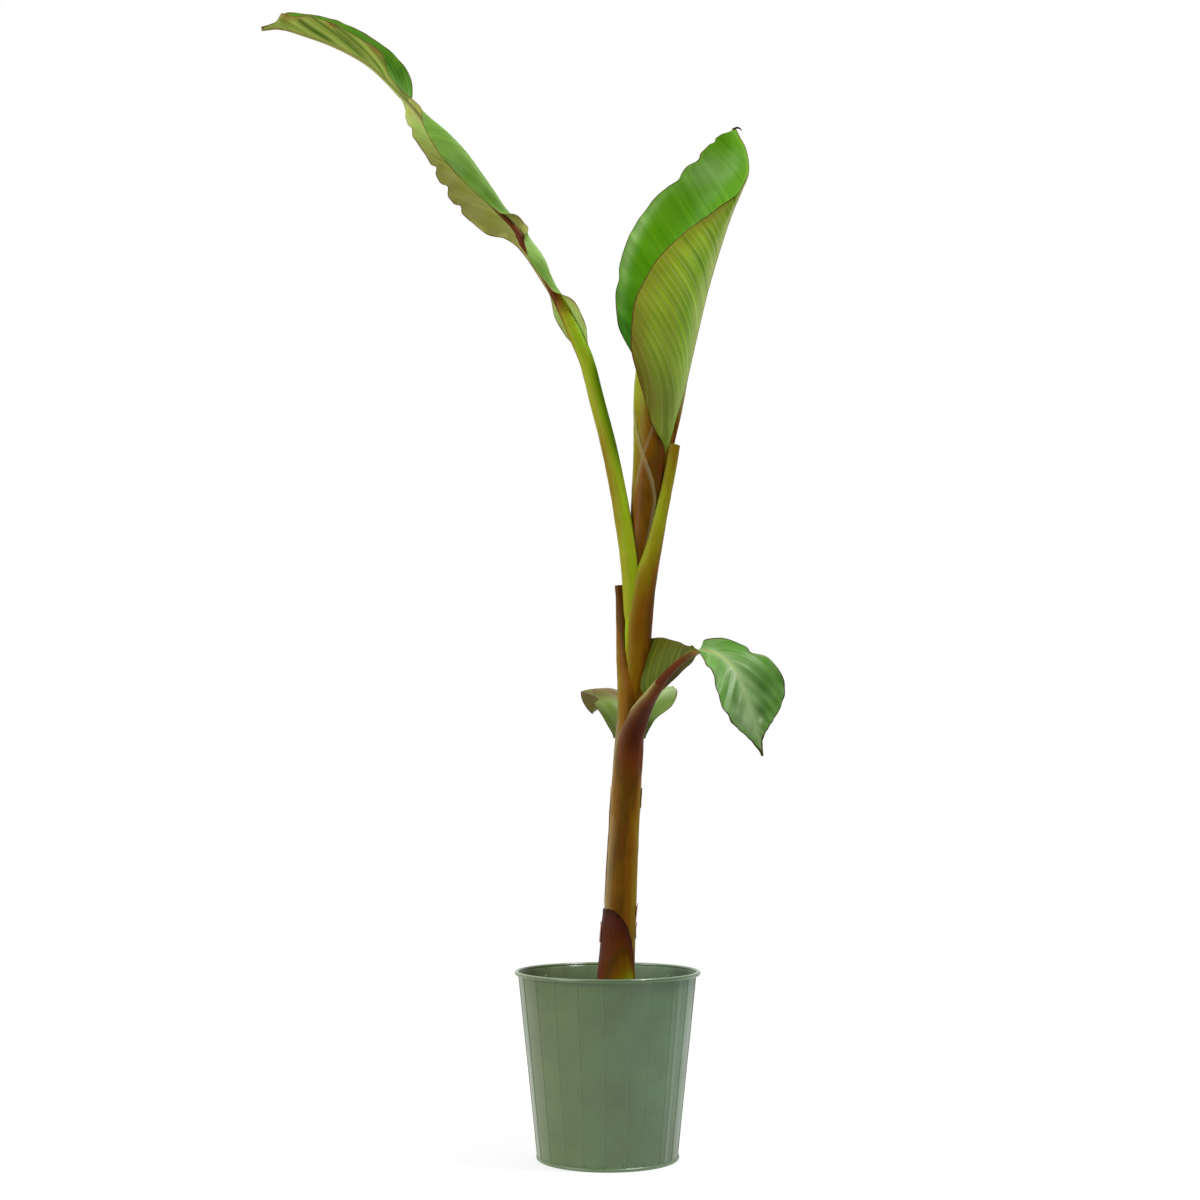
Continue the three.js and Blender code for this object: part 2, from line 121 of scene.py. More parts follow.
def start_material(name):
    """A new material, the function that adds to its tree, and its shader."""
    material = bpy.data.materials.new(name)
    material.use_nodes = True
    tree = material.node_tree
    return material, partial(add_node, tree), tree.nodes["Principled BSDF"]


def link(name, data):
    """A new object in the scene."""
    thing = bpy.data.objects.new(name, data)
    bpy.context.scene.collection.objects.link(thing)
    return thing


def make_piece(name, skins, materials, sharp=50.0):
    """One mesh object from closed skins. A skin is a stack of closed rings of points in mm with a cap at
    each end; it may give values for its points and the material slots of its faces."""
    points, faces, slots, values = [], [], [], {}
    start = 0
    names = sorted({key for skin in skins for key in skin.get("values", {})})
    for skin in skins:
        rings = np.asarray(skin["rings"], float)
        rows, columns = rings.shape[:2]
        index = start + np.arange(rows * columns).reshape(rows, columns)
        beside = np.roll(index, -1, axis=1)
        sides = np.stack([index[:-1], beside[:-1], beside[1:], index[1:]], axis=-1).reshape(-1, 4)
        i = np.arange(columns // 2 - 1)
        caps = [np.stack([ring[i], ring[i + 1], ring[columns - 2 - i], ring[columns - 1 - i]], axis=-1)
                for ring in (index[0], index[-1])]
        quads = np.concatenate([sides, caps[0][:, ::-1], caps[1]])
        flat = rings.reshape(-1, 3)
        corners = flat[quads - start]
        volume = sum(np.einsum("ij,ij->i", corners[:, 0], np.cross(corners[:, a], corners[:, a + 1])).sum()
                     for a in (1, 2))
        side_slots = np.broadcast_to(skin.get("slots", 0), (rows - 1, columns)).reshape(-1)
        slots += [side_slots, np.full(len(i), side_slots[0]), np.full(len(i), side_slots[-1])]
        points.append(flat * MM)
        faces.append(quads[:, ::-1] if volume < 0 else quads)
        for key in names:
            given = np.broadcast_to(skin.get("values", {}).get(key, 0.0), (rows, columns))
            values.setdefault(key, []).append(given.reshape(-1))
        start += rows * columns
    mesh = bpy.data.meshes.new(name)
    mesh.from_pydata(np.concatenate(points).tolist(), [], np.concatenate(faces).tolist())
    mesh.polygons.foreach_set("material_index", np.concatenate(slots).astype(np.int32))
    for key, parts in values.items():
        attribute = mesh.attributes.new(key, "FLOAT", "POINT")
        attribute.data.foreach_set("value", np.concatenate(parts).astype(np.float32))
    for material in materials:
        mesh.materials.append(material)
    mesh.shade_smooth()
    mesh.set_sharp_from_angle(angle=math.radians(sharp))
    return link(name, mesh)


def rounded(r, z, radius, arc):
    """An arc of a rolled bead in the pot's outline, as radius and height."""
    turns = np.radians(np.linspace(*arc))
    return list(zip(r + radius * np.cos(turns), z + radius * np.sin(turns)))


def panel_radius(radius, turn):
    """The wall's radius at a turn from the front: each panel is a little flattened between its creases."""
    half = 180 / PANELS
    local = (turn - FIRST_CREASE) % (2 * half) - half
    return radius * (1 - PANEL_FLATNESS * (1 - np.cos(np.radians(half)) / np.cos(np.radians(local))))


def round_pot(radius, height, turn):
    """Points on a ring about the pot's axis; a turn of 0 is at the front and 90 at the right."""
    turn = np.radians(turn)
    height = np.broadcast_to(height, turn.shape)
    return np.stack([radius * np.sin(turn), -radius * np.cos(turn), height], -1)


turns = FIRST_CREASE + np.arange(POT_COLUMNS) * 360 / POT_COLUMNS
wall = list(zip(np.linspace(WALL_FOOT_RADIUS, WALL_TOP_RADIUS, WALL_ROWS),
                np.linspace(WALL_FOOT, WALL_TOP, WALL_ROWS)))
lining = [(radius - SHEET, height) for radius, height in wall[::-2]]
underside = BASE_RECESS + [(FOOT_RADIUS - FOOT_BEAD, 0)]
foot = rounded(FOOT_RADIUS - FOOT_BEAD, FOOT_BEAD, FOOT_BEAD, FOOT_ARC)
rim = rounded(RIM_RADIUS - RIM_BEAD, POT_HEIGHT - RIM_BEAD, RIM_BEAD, RIM_ARC)
# The rim bead is paler along its top and not underneath: rubbed paint together with a painted highlight
rim_wear = RIM_WEAR * np.clip(np.sin(np.radians(np.linspace(*RIM_ARC))), 0, 1)
pot_floor = [(WALL_FOOT_RADIUS - SHEET - 1, POT_FLOOR), (FLOOR_MIDDLE, POT_FLOOR)]
rings, rub, dull = [], [], []
for outline, folded, wear, dulled in (
        (underside, False, 0.0, 0.0), (foot, False, FOOT_WEAR, FOOT_DULL), (wall, True, 0.0, 0.0),
        (rim, False, rim_wear, 0.0), (lining, True, LINING_WEAR, 1.0), (pot_floor, False, 0.0, 1.0)):
    rings += [round_pot(panel_radius(radius, turns) if folded else radius, height, turns)
              for radius, height in outline]
    rub.append(np.broadcast_to(wear, len(outline)))
    dull.append(np.broadcast_to(dulled, len(outline)))

# Satin paint on steel: sage green, yellowish at the left and bluish at the right, with a faint cloudiness,
# fine orange peel and rubbed, paler edges; along the top of the rim the paleness is partly a painted
# highlight. Inside it has gone dull. The peel is about 1 mm across and is drawn at 2 mm so that it shows.
pot_paint, add, shader = start_material("satin_sage_paint")
place = add("TexCoord").outputs["Object"]
across = add("SeparateXYZ", {"Vector": place})
fade = add("MapRange", {"Value": across, "From Min": -110 * MM, "From Max": 110 * MM})
clouds = add("TexNoise", {"Vector": place, "Scale": 1 / (60 * MM), "Detail": 3.0})
peel = add("TexNoise", {"Vector": place, "Scale": 1 / (2 * MM), "Detail": 2.0})
base = add("Mix", {"Factor": fade, "A": "#4b5e1a", "B": "#50744e"}, data_type="RGBA")
cloud = add("ValToRGB", {"Fac": clouds}, stops=[(0.35, 0.0), (0.7, 0.55)])
mottled = add("Mix", {"Factor": cloud, "A": base, "B": "#3a4c20"}, data_type="RGBA")
speck = add("ValToRGB", {"Fac": peel}, stops=[(0.45, 0.0), (0.75, 0.35)])
speckled = add("Mix", {"Factor": speck, "A": mottled, "B": "#5a7250"}, data_type="RGBA")
# Paler where the paint is rubbed, and along the top of the rim also as a painted highlight
worn = add("Attribute", attribute_name="rub").outputs["Fac"]
wear = add("Math", {0: worn, 1: clouds}, operation="MULTIPLY")
finish = add("Mix", {"Factor": wear, "A": speckled, "B": "#a3b59b"}, data_type="RGBA")
gloss = add("MapRange", {"Value": clouds, "To Min": 0.18, "To Max": 0.32})
duller = add("Attribute", attribute_name="dull").outputs["Fac"]
rough = add("Math", {0: duller, 1: 0.4, 2: gloss}, operation="MULTIPLY_ADD")
relief = add("Bump", {"Strength": 0.25, "Distance": 0.3 * MM, "Height": peel})
add(shader, {"Base Color": finish, "Roughness": rough, "Normal": relief, "IOR": 1.65})

seam_turns = np.linspace(*SEAM_TURNS, len(SEAM_LIFT))
seam = []
for radius, height in wall:
    sheet = panel_radius(radius, seam_turns)
    seam.append(np.concatenate([round_pot(sheet + SEAM_LIFT, height, seam_turns),
                                round_pot(sheet - SEAM_SINK, height, seam_turns)[::-1]]))
skins = [{"rings": rings, "values": {"rub": np.concatenate(rub)[:, None],
                                     "dull": np.concatenate(dull)[:, None]}},
         {"rings": seam, "values": {"rub": SEAM_WEAR * np.tile(SEAM_LIFT, 2)}}]
rivet_at = np.interp(RIVET_HEIGHT, [WALL_FOOT, WALL_TOP], [WALL_FOOT_RADIUS, WALL_TOP_RADIUS]) - SHEET
swings = np.radians(np.arange(0, 360, 30))[:, None]
for turn in RIVET_TURNS:
    inward = -round_pot(1.0, 0.0, turn)
    circle = np.cos(swings) * np.cross(inward, UP) + np.sin(swings) * UP
    head = round_pot(panel_radius(rivet_at, turn), RIVET_HEIGHT, turn)
    dome = [head + RIVET_RADIUS * reach * circle + lift * inward for reach, lift in RIVET_DOME]
    skins.append({"rings": dome, "values": {"rub": RIVET_WEAR}})
pot = make_piece("pot_body", skins, [pot_paint], sharp=35)
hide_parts("pot")
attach(pot, "root")


def start_tree(name, settings):
    """A Geometry Nodes tree with an input for each named setting, the function that adds to it, and its
    inputs' outputs."""
    tree = bpy.data.node_groups.new(name, "GeometryNodeTree")
    for way in ("INPUT", "OUTPUT"):
        tree.interface.new_socket("Geometry", in_out=way, socket_type="NodeSocketGeometry")
    for label, value in settings.items():
        kind = "NodeSocketInt" if isinstance(value, int) else "NodeSocketFloat"
        tree.interface.new_socket(label, in_out="INPUT", socket_type=kind)
    return tree, partial(add_node, tree), tree.nodes.new("NodeGroupInput").outputs


def grow(name, mesh, tree, settings):
    """Runs a tree on a mesh and keeps its result as a plain mesh object."""
    piece = link(name, mesh)
    modifier = piece.modifiers.new(tree.name, "NODES")
    modifier.node_group = tree
    for item in tree.interface.items_tree:
        if item.in_out == "INPUT" and item.name in settings:
            modifier[item.identifier] = settings[item.name]
    made = bpy.data.meshes.new_from_object(piece.evaluated_get(bpy.context.evaluated_depsgraph_get()))
    piece.modifiers.remove(modifier)
    piece.data = made
    made.name = name
    return piece


# Each crease is a thin raised fold that runs up the wall between two panels
CREASES = {
    "Count": PANELS, "First Turn": math.radians(FIRST_CREASE), "Width": CREASE_WIDTH * MM,
    "Foot Radius": (WALL_FOOT_RADIUS - CREASE_SINK) * MM, "Foot Height": WALL_FOOT * MM,
    "Top Radius": (WALL_TOP_RADIUS - CREASE_SINK) * MM, "Top Height": WALL_TOP * MM}
tree, add, given = start_tree("creases round the pot", CREASES)
ends = {}
for end in ("Foot", "Top"):
    front = add("Math", {0: given[end + " Radius"], 1: -1.0}, operation="MULTIPLY")
    ends[end] = add("CombineXYZ", {"Y": front, "Z": given[end + " Height"]})
fold = add("GeometryNodeCurvePrimitiveLine", {"Start": ends["Foot"], "End": ends["Top"]})
half_width = add("Math", {0: given["Width"], 1: 0.5}, operation="MULTIPLY")
bead = add("GeometryNodeCurvePrimitiveCircle", {"Resolution": 8, "Radius": half_width})
ridge = add("GeometryNodeCurveToMesh", {"Curve": fold, "Profile Curve": bead, "Fill Caps": True})
axis = add("GeometryNodeMeshLine", {"Count": given["Count"], "Offset": (0, 0, 0)})
share = add("Math", {0: add("GeometryNodeInputIndex"), 1: given["Count"]}, operation="DIVIDE")
swing = add("Math", {0: share, 1: 2 * math.pi, 2: given["First Turn"]}, operation="MULTIPLY_ADD")
turned = add("FunctionNodeEulerToRotation", {0: add("CombineXYZ", {"Z": swing})})
placed = add("GeometryNodeInstanceOnPoints", {"Points": axis, "Instance": ridge, "Rotation": turned})
whole = add("GeometryNodeRealizeInstances", {0: placed})
rubbed = add("GeometryNodeStoreNamedAttribute", data_type="FLOAT",
             sockets={"Geometry": whole, "Name": "rub", "Value": CREASE_WEAR})
painted = add("GeometryNodeSetMaterial", {"Geometry": rubbed, "Material": pot_paint})
add("NodeGroupOutput", {0: painted})
creases = grow("pot_creases", bpy.data.meshes.new("pot_creases"), tree, CREASES)
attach(creases, "root")

# The potting mix is moist peat and bark that fills the pot to a hand's breadth below the rim.
# It is poured in and pressed round the stem, so it rises there and is left crumbly on top.
SOIL_LEVEL = 205.0
# Radius and height of its foot and side, then the radii of its top with their count
SOIL_SIDE = ((91, 5), (92, 5.4), (114, 202))
SOIL_TOP = (113, 6, 32)
SOIL_MOUND = 6.0
SOIL_UNEVEN = 0.9
# Wavelength and seed of the waves along X, along Y and slantwise
SOIL_WAVES = ((31, 1), (27, 2), (11, 3))
MOUND_FROM = 45.0
MOUND_TO = 76.0
WAVE_FALL = 0.8
WAVE_GAIN = 0.61
WAVE_SUM = 2.4


def unit(vectors):
    """Vectors of length one."""
    return vectors / np.linalg.norm(vectors, axis=-1, keepdims=True)


def smooth(share):
    """A share from 0 to 1 that starts and ends level."""
    return share * share * (3 - 2 * share)


def wobble(at, wavelength, seed, height=1.0):
    """A smooth uneven wave along a length, about as high as the height and the same on each run: four
    waves, each lower and quicker than the one before."""
    phases = np.random.default_rng(seed).uniform(0, 2 * np.pi, 4)
    waves = [WAVE_FALL ** k * np.sin(2 * np.pi * np.asarray(at) / wavelength * (1 + WAVE_GAIN * k) + phase)
             for k, phase in enumerate(phases)]
    return height * sum(waves) / WAVE_SUM


# Moist peat: very dark, matt, with paler bark fibres between the crumbs, which are 2 to 6 mm across
potting_mix, add, shader = start_material("moist_peat_mix")
place = add("TexCoord").outputs["Object"]
crumbs = add("TexNoise", {"Vector": place, "Scale": 1 / (5 * MM), "Detail": 5.0})
earth = add("ValToRGB", {"Fac": crumbs},
            stops=[(0.3, "#1c120b"), (0.5, "#3a2718"), (0.62, "#57402a"), (0.75, "#7b6243")])
damp = add("MapRange", {"Value": crumbs, "To Min": 0.75, "To Max": 1.0})
relief = add("Bump", {"Strength": 0.8, "Distance": 2 * MM, "Height": crumbs})
add(shader, {"Base Color": earth, "Roughness": damp, "Normal": relief, "IOR": 1.4})

turns = np.arange(0, 360, 3.0)
rings = [round_pot(radius, height, turns) for radius, height in SOIL_SIDE]
for radius in np.linspace(*SOIL_TOP):
    ring = round_pot(radius, SOIL_LEVEL, turns)
    rise = np.clip((MOUND_TO - radius) / (MOUND_TO - MOUND_FROM), 0, 1)
    ways = (ring[:, 0], ring[:, 1], ring[:, 0] + ring[:, 1])
    rough = sum(wobble(way, *wave) for way, wave in zip(ways, SOIL_WAVES))
    ring[:, 2] += SOIL_MOUND * smooth(rise) + SOIL_UNEVEN * rough
    rings.append(ring)
soil = make_piece("potting_mix_bed", [{"rings": rings}], [potting_mix])
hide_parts("soil")
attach(soil, "root")

# Crumbs of peat and bark lie loose on the bed: small rough lumps, each turned and sized differently
CRUMBS = {"Density": 32000.0, "Smallest": 2.5 * MM, "Largest": 8.0 * MM, "Roughness": 2.4 * MM, "Seed": 7}
tree, add, given = start_tree("crumbs on the bed", CRUMBS)
seed = given["Seed"]
upward = add("SeparateXYZ", {0: add("GeometryNodeInputNormal")}).outputs["Z"]
on_top = add("FunctionNodeCompare", {0: upward, 1: 0.5}, operation="GREATER_THAN")
spots = add("GeometryNodeDistributePointsOnFaces", {
    "Mesh": given["Geometry"], "Selection": on_top, "Density": given["Density"], "Seed": seed})
lump = add("GeometryNodeMeshIcoSphere", {"Radius": 0.5, "Subdivisions": 2})
size = add("FunctionNodeRandomValue", data_type="FLOAT_VECTOR",
           sockets={"Min": (0.5, 0.5, 0.35), "Max": (1.3, 1.0, 0.8), "Seed": seed})
scale = add("FunctionNodeRandomValue", data_type="FLOAT",
            sockets={"Min": given["Smallest"], "Max": given["Largest"], "Seed": seed})
grain = add("VectorMath", {0: size, "Scale": scale}, operation="SCALE")
swing = add("FunctionNodeRandomValue", data_type="FLOAT_VECTOR",
            sockets={"Min": (0, 0, 0), "Max": (6.28, 6.28, 6.28), "Seed": seed})
turned = add("FunctionNodeEulerToRotation", {0: swing})
strewn = add("GeometryNodeInstanceOnPoints", {"Points": spots, "Instance": lump, "Rotation": turned,
                                              "Scale": grain})
whole = add("GeometryNodeRealizeInstances", {0: strewn})
jitter = add("TexNoise", {"Vector": add("GeometryNodeInputPosition"), "Scale": 1 / (3 * MM), "Detail": 1.0})
middle = add("VectorMath", {0: jitter.outputs["Color"], 1: (0.5, 0.5, 0.5)}, operation="SUBTRACT")
push = add("VectorMath", {0: middle, "Scale": given["Roughness"]}, operation="SCALE")
rough = add("GeometryNodeSetPosition", {"Geometry": whole, "Offset": push})
earthy = add("GeometryNodeSetMaterial", {"Geometry": rough, "Material": potting_mix})
add("NodeGroupOutput", {0: earthy})
crumb_lumps = grow("potting_mix_crumbs", soil.data.copy(), tree, CRUMBS)
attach(crumb_lumps, "root")

# The stem of a banana plant is no wood: it is a tight roll of fleshy leaf sheaths that leans a little.
# The skin is waxy, olive brown, flushed red brown and green, with fine lengthwise ribs.
STEM_LINE = np.array([[200, 11.5], [338, 17.4], [473, 24.4], [554, 29.6], [678, 37], [747, 41], [860, 50]])
STEM_RADIUS = np.array([[200, 25.5], [245, 23.6], [338, 21.4], [473, 20.2], [540, 20], [590, 18.6],
                        [803, 17]])
STEM_HEIGHTS = (203.0, 803.0, 160)
STEM_COLUMNS = 132
STEM_SEAM = np.array([[200, 30], [803, 150]])
STEM_LIP = 0.9
# How much paler the stem's left side is painted, as painted light from the left, and how far round it
# begins
STEM_BLOOM = 0.32
BLOOM_FROM = 0.5
RIB_COUNT = 38
RIB_HEIGHT = 0.16
# Slow swellings round and along the roll: wavelength, seed and height
ROUND_SWELL = (47, 5, 0.22)
LENGTH_SWELL = (61, 6, 0.2)
# A faint rusty streak that climbs round the front: height, bearing and strength
RUSTY_STREAK = np.array([[345, -160, 0], [372, -138, 0.05], [430, -88, 0.05], [455, -66, 0]])
RUSTY_WIDTH = 24.0
# Flush of the skin by height, at the left, the front, the right and the back
STEM_FLUSH = np.array([
    [200, 0.50, 0.42, 0.30, 0.35], [245, 0.50, 0.42, 0.30, 0.35], [330, 0.36, 0.45, 0.25, 0.30],
    [385, 0.38, 0.47, 0.24, 0.34], [430, 0.38, 0.47, 0.24, 0.36], [480, 0.36, 0.48, 0.27, 0.40],
    [540, 0.46, 0.62, 0.60, 0.44], [620, 0.50, 0.50, 0.50, 0.42], [803, 0.42, 0.44, 0.46, 0.40]])


def eased(keys, values, at):
    """A smooth curve through values, or rows of values, at keys: it never overshoots and is level at both
    ends."""
    keys = np.asarray(keys, float)
    values = np.asarray(values, float)
    if values.ndim == 2:
        return np.stack([eased(keys, column, at) for column in values.T], -1)
    slope = np.diff(values) / np.diff(keys)
    agree = slope[:-1] * slope[1:] > 0
    tangent = np.zeros(len(keys))
    total = np.where(agree, slope[:-1] + slope[1:], 1.0)
    tangent[1:-1] = np.where(agree, 2 * slope[:-1] * slope[1:] / total, 0.0)
    at = np.clip(at, keys[0], keys[-1])
    k = np.clip(np.searchsorted(keys, at, side="right") - 1, 0, len(keys) - 2)
    span = keys[k + 1] - keys[k]
    u = (at - keys[k]) / span
    swing = tangent[k] * (u ** 3 - 2 * u ** 2 + u) + tangent[k + 1] * (u ** 3 - u ** 2)
    return values[k] * (1 - smooth(u)) + values[k + 1] * smooth(u) + swing * span


def wound_skin(heights, middle, reach, seam, lip, flush, columns):
    """A roll of sheaths: level rings whose radius grows by a lip round to the seam, where the outer
    sheath's edge stands proud. The seam's bearing may wind with height. The flush is a table by height,
    at the left, front, right and back."""
    share = np.arange(columns) / columns
    bearings = seam[:, None] + 360 * share
    angle = np.radians(bearings)
    level = heights[:, None]
    ribs = RIB_HEIGHT * np.sin(angle * RIB_COUNT)
    ribs = ribs + wobble(bearings, *ROUND_SWELL) + wobble(level, *LENGTH_SWELL)
    extra = lip * (share - 0.5) + ribs
    rings = np.stack([middle[:, :1] + (reach[:, :1] + extra) * np.cos(angle),
                      middle[:, 1:] + (reach[:, 1:] + extra) * np.sin(angle),
                      np.broadcast_to(level, angle.shape)], -1)
    shades = eased(flush[:, 0], flush[:, 1:], heights)
    tint = [np.interp(row, (-180, -90, 0, 90), shade, period=360) for row, shade in zip(bearings, shades)]
    return {"rings": rings, "values": {"tint": np.array(tint), "run": level * MM,
                                       "round": share * 2 * np.pi * reach[:, :1] * MM}}


def fibre_noise(add, slowness, gap, detail):
    """Noise drawn out lengthwise into fibres, by the ways round and along a skin."""
    round_way, run = (add("Attribute", attribute_name=key).outputs["Fac"] for key in ("round", "run"))
    slow_run = add("Math", {0: run, 1: slowness}, operation="MULTIPLY")
    way = add("CombineXYZ", {"X": round_way, "Y": slow_run})
    return add("TexNoise", {"Vector": way, "Scale": 1 / gap, "Detail": detail})


# Living banana skin: wax over green, olive, red-brown and maroon tissue, in one ramp that each piece reads
# by its own flush. Its fibres are about 1 mm apart and are drawn at 2 mm so that they show. It may be mixed
# towards pale: a bloom on the edges of the tube's windings and on some midribs, painted light down the
# stem's left side, and painted highlights on the drooping stalk's edges and the rolled leaf's midrib.
banana_skin, add, shader = start_material("waxy_banana_skin")
flush = add("Attribute", attribute_name="tint").outputs["Fac"]
bloom = add("Attribute", attribute_name="pale").outputs["Fac"]
fibres = fibre_noise(add, 0.05, 2 * MM, 3.0)
place = add("TexCoord").outputs["Object"]
stretch = add("Mapping", {"Vector": place, "Scale": (1.0, 1.0, 0.3)})
blotches = add("TexNoise", {"Vector": stretch, "Scale": 1 / (18 * MM), "Detail": 3.0})
streaked = add("Math", {0: fibres, 1: 0.14, 2: flush}, operation="MULTIPLY_ADD")
blotched = add("Math", {0: blotches, 1: 0.2, 2: streaked}, operation="MULTIPLY_ADD")
level = add("Math", {0: blotched, 1: 0.17}, operation="SUBTRACT")
tissue = add("ValToRGB", {"Fac": level}, stops=[
    (0.0, "#8ab614"), (0.12, "#949c18"), (0.27, "#84700a"), (0.40, "#7c4e08"), (0.48, "#5a3c06"),
    (0.57, "#66310d"), (0.72, "#4e2210"), (1.0, "#30130c")])
waxed = add("Mix", {"Factor": bloom, "A": tissue, "B": "#b6b684"}, data_type="RGBA")
gloss = add("MapRange", {"Value": blotches, "To Min": 0.34, "To Max": 0.52})
relief = add("Bump", {"Strength": 0.35, "Distance": 0.4 * MM, "Height": fibres})
add(shader, {"Base Color": waxed, "Roughness": gloss, "Normal": relief, "IOR": 1.45,
             "Specular IOR Level": 0.1})


def stem_middle(z):
    """The stem's axis at a height."""
    return np.stack([eased(STEM_LINE[:, 0], STEM_LINE[:, 1], z), np.zeros_like(z)], -1)


def stem_reach(z):
    """The stem's radius at a height."""
    return eased(STEM_RADIUS[:, 0], STEM_RADIUS[:, 1], z)


heights = np.linspace(*STEM_HEIGHTS)
reach = np.stack([stem_reach(heights)] * 2, -1)
seam = np.interp(heights, STEM_SEAM[:, 0], STEM_SEAM[:, 1])
stem_skin = wound_skin(heights, stem_middle(heights), reach, seam, STEM_LIP, STEM_FLUSH, STEM_COLUMNS)
off_middle = stem_skin["rings"][..., :2] - stem_middle(heights)[:, None]
leftward = -off_middle[..., 0] / reach[:, :1]
# Painted light: the skin is mixed towards pale down the stem's left side, where light and reflections from
# the left fall
stem_skin["values"]["pale"] = STEM_BLOOM * np.clip((leftward - BLOOM_FROM) / (1 - BLOOM_FROM), 0, 1)
streak_way, streak_show = (np.interp(heights, RUSTY_STREAK[:, 0], column)[:, None]
                           for column in RUSTY_STREAK.T[1:])
bearings = np.degrees(np.arctan2(off_middle[..., 1], off_middle[..., 0]))
stem_skin["values"]["tint"] += streak_show * np.exp(-((bearings - streak_way) / RUSTY_WIDTH) ** 2)
stem = make_piece("stem", [stem_skin], [banana_skin])
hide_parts("pseudostem")
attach(stem, "root")

# Old leaf bases stay on the stem: a maroon sheath at its foot, cut off on a slant, that hugs the stem.
# It is still fleshy, with a thin margin that stands a little away from the stem and is painted darker there
# as shade.
MARGIN_REACH = 9.0
MARGIN_THIN = 0.3
SIDE_REACH = 200.0
SHEATH_RIBS = 40
SHEATH_RIB = 0.12
SHEATH_RADIUS = 22.0
ROW_CROWDING = 0.8
# Wavelength and size of the tears in a ragged end, of the flare's waves and of the sheath's swelling
TEARS = ((23, 1.0), (7, 0.4))
FLARE_WAVE, FLARE_UNEVEN = 41, 0.4
SHEATH_WAVE, SHEATH_UNEVEN = 70, 0.5
# A sheath's rows: bearing, height of the lower end, height of the upper end
FOOT_SHEATH = np.array([
    [-205, 208, 300], [-185, 208, 327], [-150, 208, 327], [-118, 208, 326], [-86, 208, 316],
    [-62, 208, 303], [-43, 208, 285], [-28, 208, 262], [-18, 208, 236]])


def closed(outward, back):
    """Closed rows: along the first and back along the second."""
    return np.concatenate([outward, back[:, ::-1]], 1)


def sheath_skin(rows, wall, lift, flare, flush=None, ragged=0.0, steps=110, levels=34, seed=11):
    """A sheath that lies on the stem, is thin at its margin and stands off there by the flare. The flush
    takes the shares round and up and the nearness of the margin."""
    bearings = np.linspace(rows[0, 0], rows[-1, 0], steps)[:, None]
    lower = eased(rows[:, 0], rows[:, 1], bearings)
    upper = eased(rows[:, 0], rows[:, 2], bearings)
    for k, (wavelength, size) in enumerate(TEARS):
        upper = upper + wobble(bearings, wavelength, seed + k, size * ragged)
    up = np.linspace(0, 1, levels) ** ROW_CROWDING
    z = lower + (upper - lower) * up
    share = np.linspace(0, 1, steps)[:, None]
    edge = np.minimum(upper - z, SIDE_REACH * np.minimum(share, 1 - share))
    near = np.exp(-np.clip(edge, 0, None) / MARGIN_REACH)
    flare = flare * near * (1 + wobble(bearings, FLARE_WAVE, seed + 2, FLARE_UNEVEN))
    inner = stem_reach(z) + lift + flare + wobble(z, SHEATH_WAVE, seed + 3, SHEATH_UNEVEN)
    angle = np.radians(bearings)
    outer = inner + wall * (1 - (1 - MARGIN_THIN) * near) + SHEATH_RIB * np.sin(angle * SHEATH_RIBS)
    sides = [np.stack([stem_middle(z)[..., 0] + radius * np.cos(angle), radius * np.sin(angle), z], -1)
             for radius in (inner, outer)]
    values = {"round": angle * SHEATH_RADIUS * MM, "run": closed(z, z) * MM}
    if flush:
        shade = flush(share, up, near)
        values["tint"] = closed(shade, shade)
    return {"rings": closed(*sides), "values": values}


def foot_sheath_flush(share, up, near):
    """Maroon, turning to yellow olive low down at the right, and darker at the margin as painted shade in
    its curl.
    """
    return 0.78 - 1.1 * (1 - up) ** 0.9 * share ** 1.4 + 0.2 * near - 0.06 * (1 - up) * (1 - share)


foot_skin = sheath_skin(FOOT_SHEATH, wall=2.6, lift=-0.6, flare=1.4, flush=foot_sheath_flush, ragged=0.5)
foot_sheath = make_piece("foot_sheath_cut", [foot_skin], [banana_skin])
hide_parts("foot_sheath")
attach(foot_sheath, "root")

# A dead sheath still clings to the back of the stem, with scraps of others lower down at its sides.
# It has dried to a thin, papery red-brown skin that has split and curls away at its edges.
DRIED_SHEATH = np.array([[22, 352, 470], [36, 338, 486], [52, 329, 490], [72, 342, 484], [90, 328, 478],
                         [108, 338, 488], [126, 326, 492], [144, 340, 482], [160, 346, 476]])
# Each scrap with its lift off the stem
SCRAPS = [([[-20, 314, 327], [-8, 308, 333], [8, 306, 334], [20, 314, 330]], 0.5),
          ([[-18, 292, 303], [-6, 286, 309], [8, 288, 308]], 0.5),
          ([[176, 284, 306], [186, 282, 310], [196, 284, 306]], 2.3),
          ([[-8, 462, 482], [4, 454, 490], [16, 458, 488]], 0.2),
          ([[168, 340, 486], [178, 334, 492], [187, 342, 482]], -0.2)]

# Dried sheath: matt, pinkish brown paper, stained in patches 20 mm across and streaked along its fibres,
# which are about 1 mm apart and are drawn at nearly 2 mm so that they show
dried_papery, add, shader = start_material("dried_papery_sheath")
fibres = fibre_noise(add, 0.08, 1.8 * MM, 4.0)
place = add("TexCoord").outputs["Object"]
stains = add("TexNoise", {"Vector": place, "Scale": 1 / (20 * MM), "Detail": 3.0})
paper = add("ValToRGB", {"Fac": fibres}, stops=[(0.3, "#a8664f"), (0.5, "#c8927c"), (0.7, "#dab69e")])
stain = add("ValToRGB", {"Fac": stains}, stops=[(0.45, 0.0), (0.75, 0.8)])
aged = add("Mix", {"Factor": stain, "A": paper, "B": "#8c5440"}, data_type="RGBA")
matt = add("MapRange", {"Value": stains, "To Min": 0.7, "To Max": 0.95})
relief = add("Bump", {"Strength": 0.6, "Distance": 0.6 * MM, "Height": fibres})
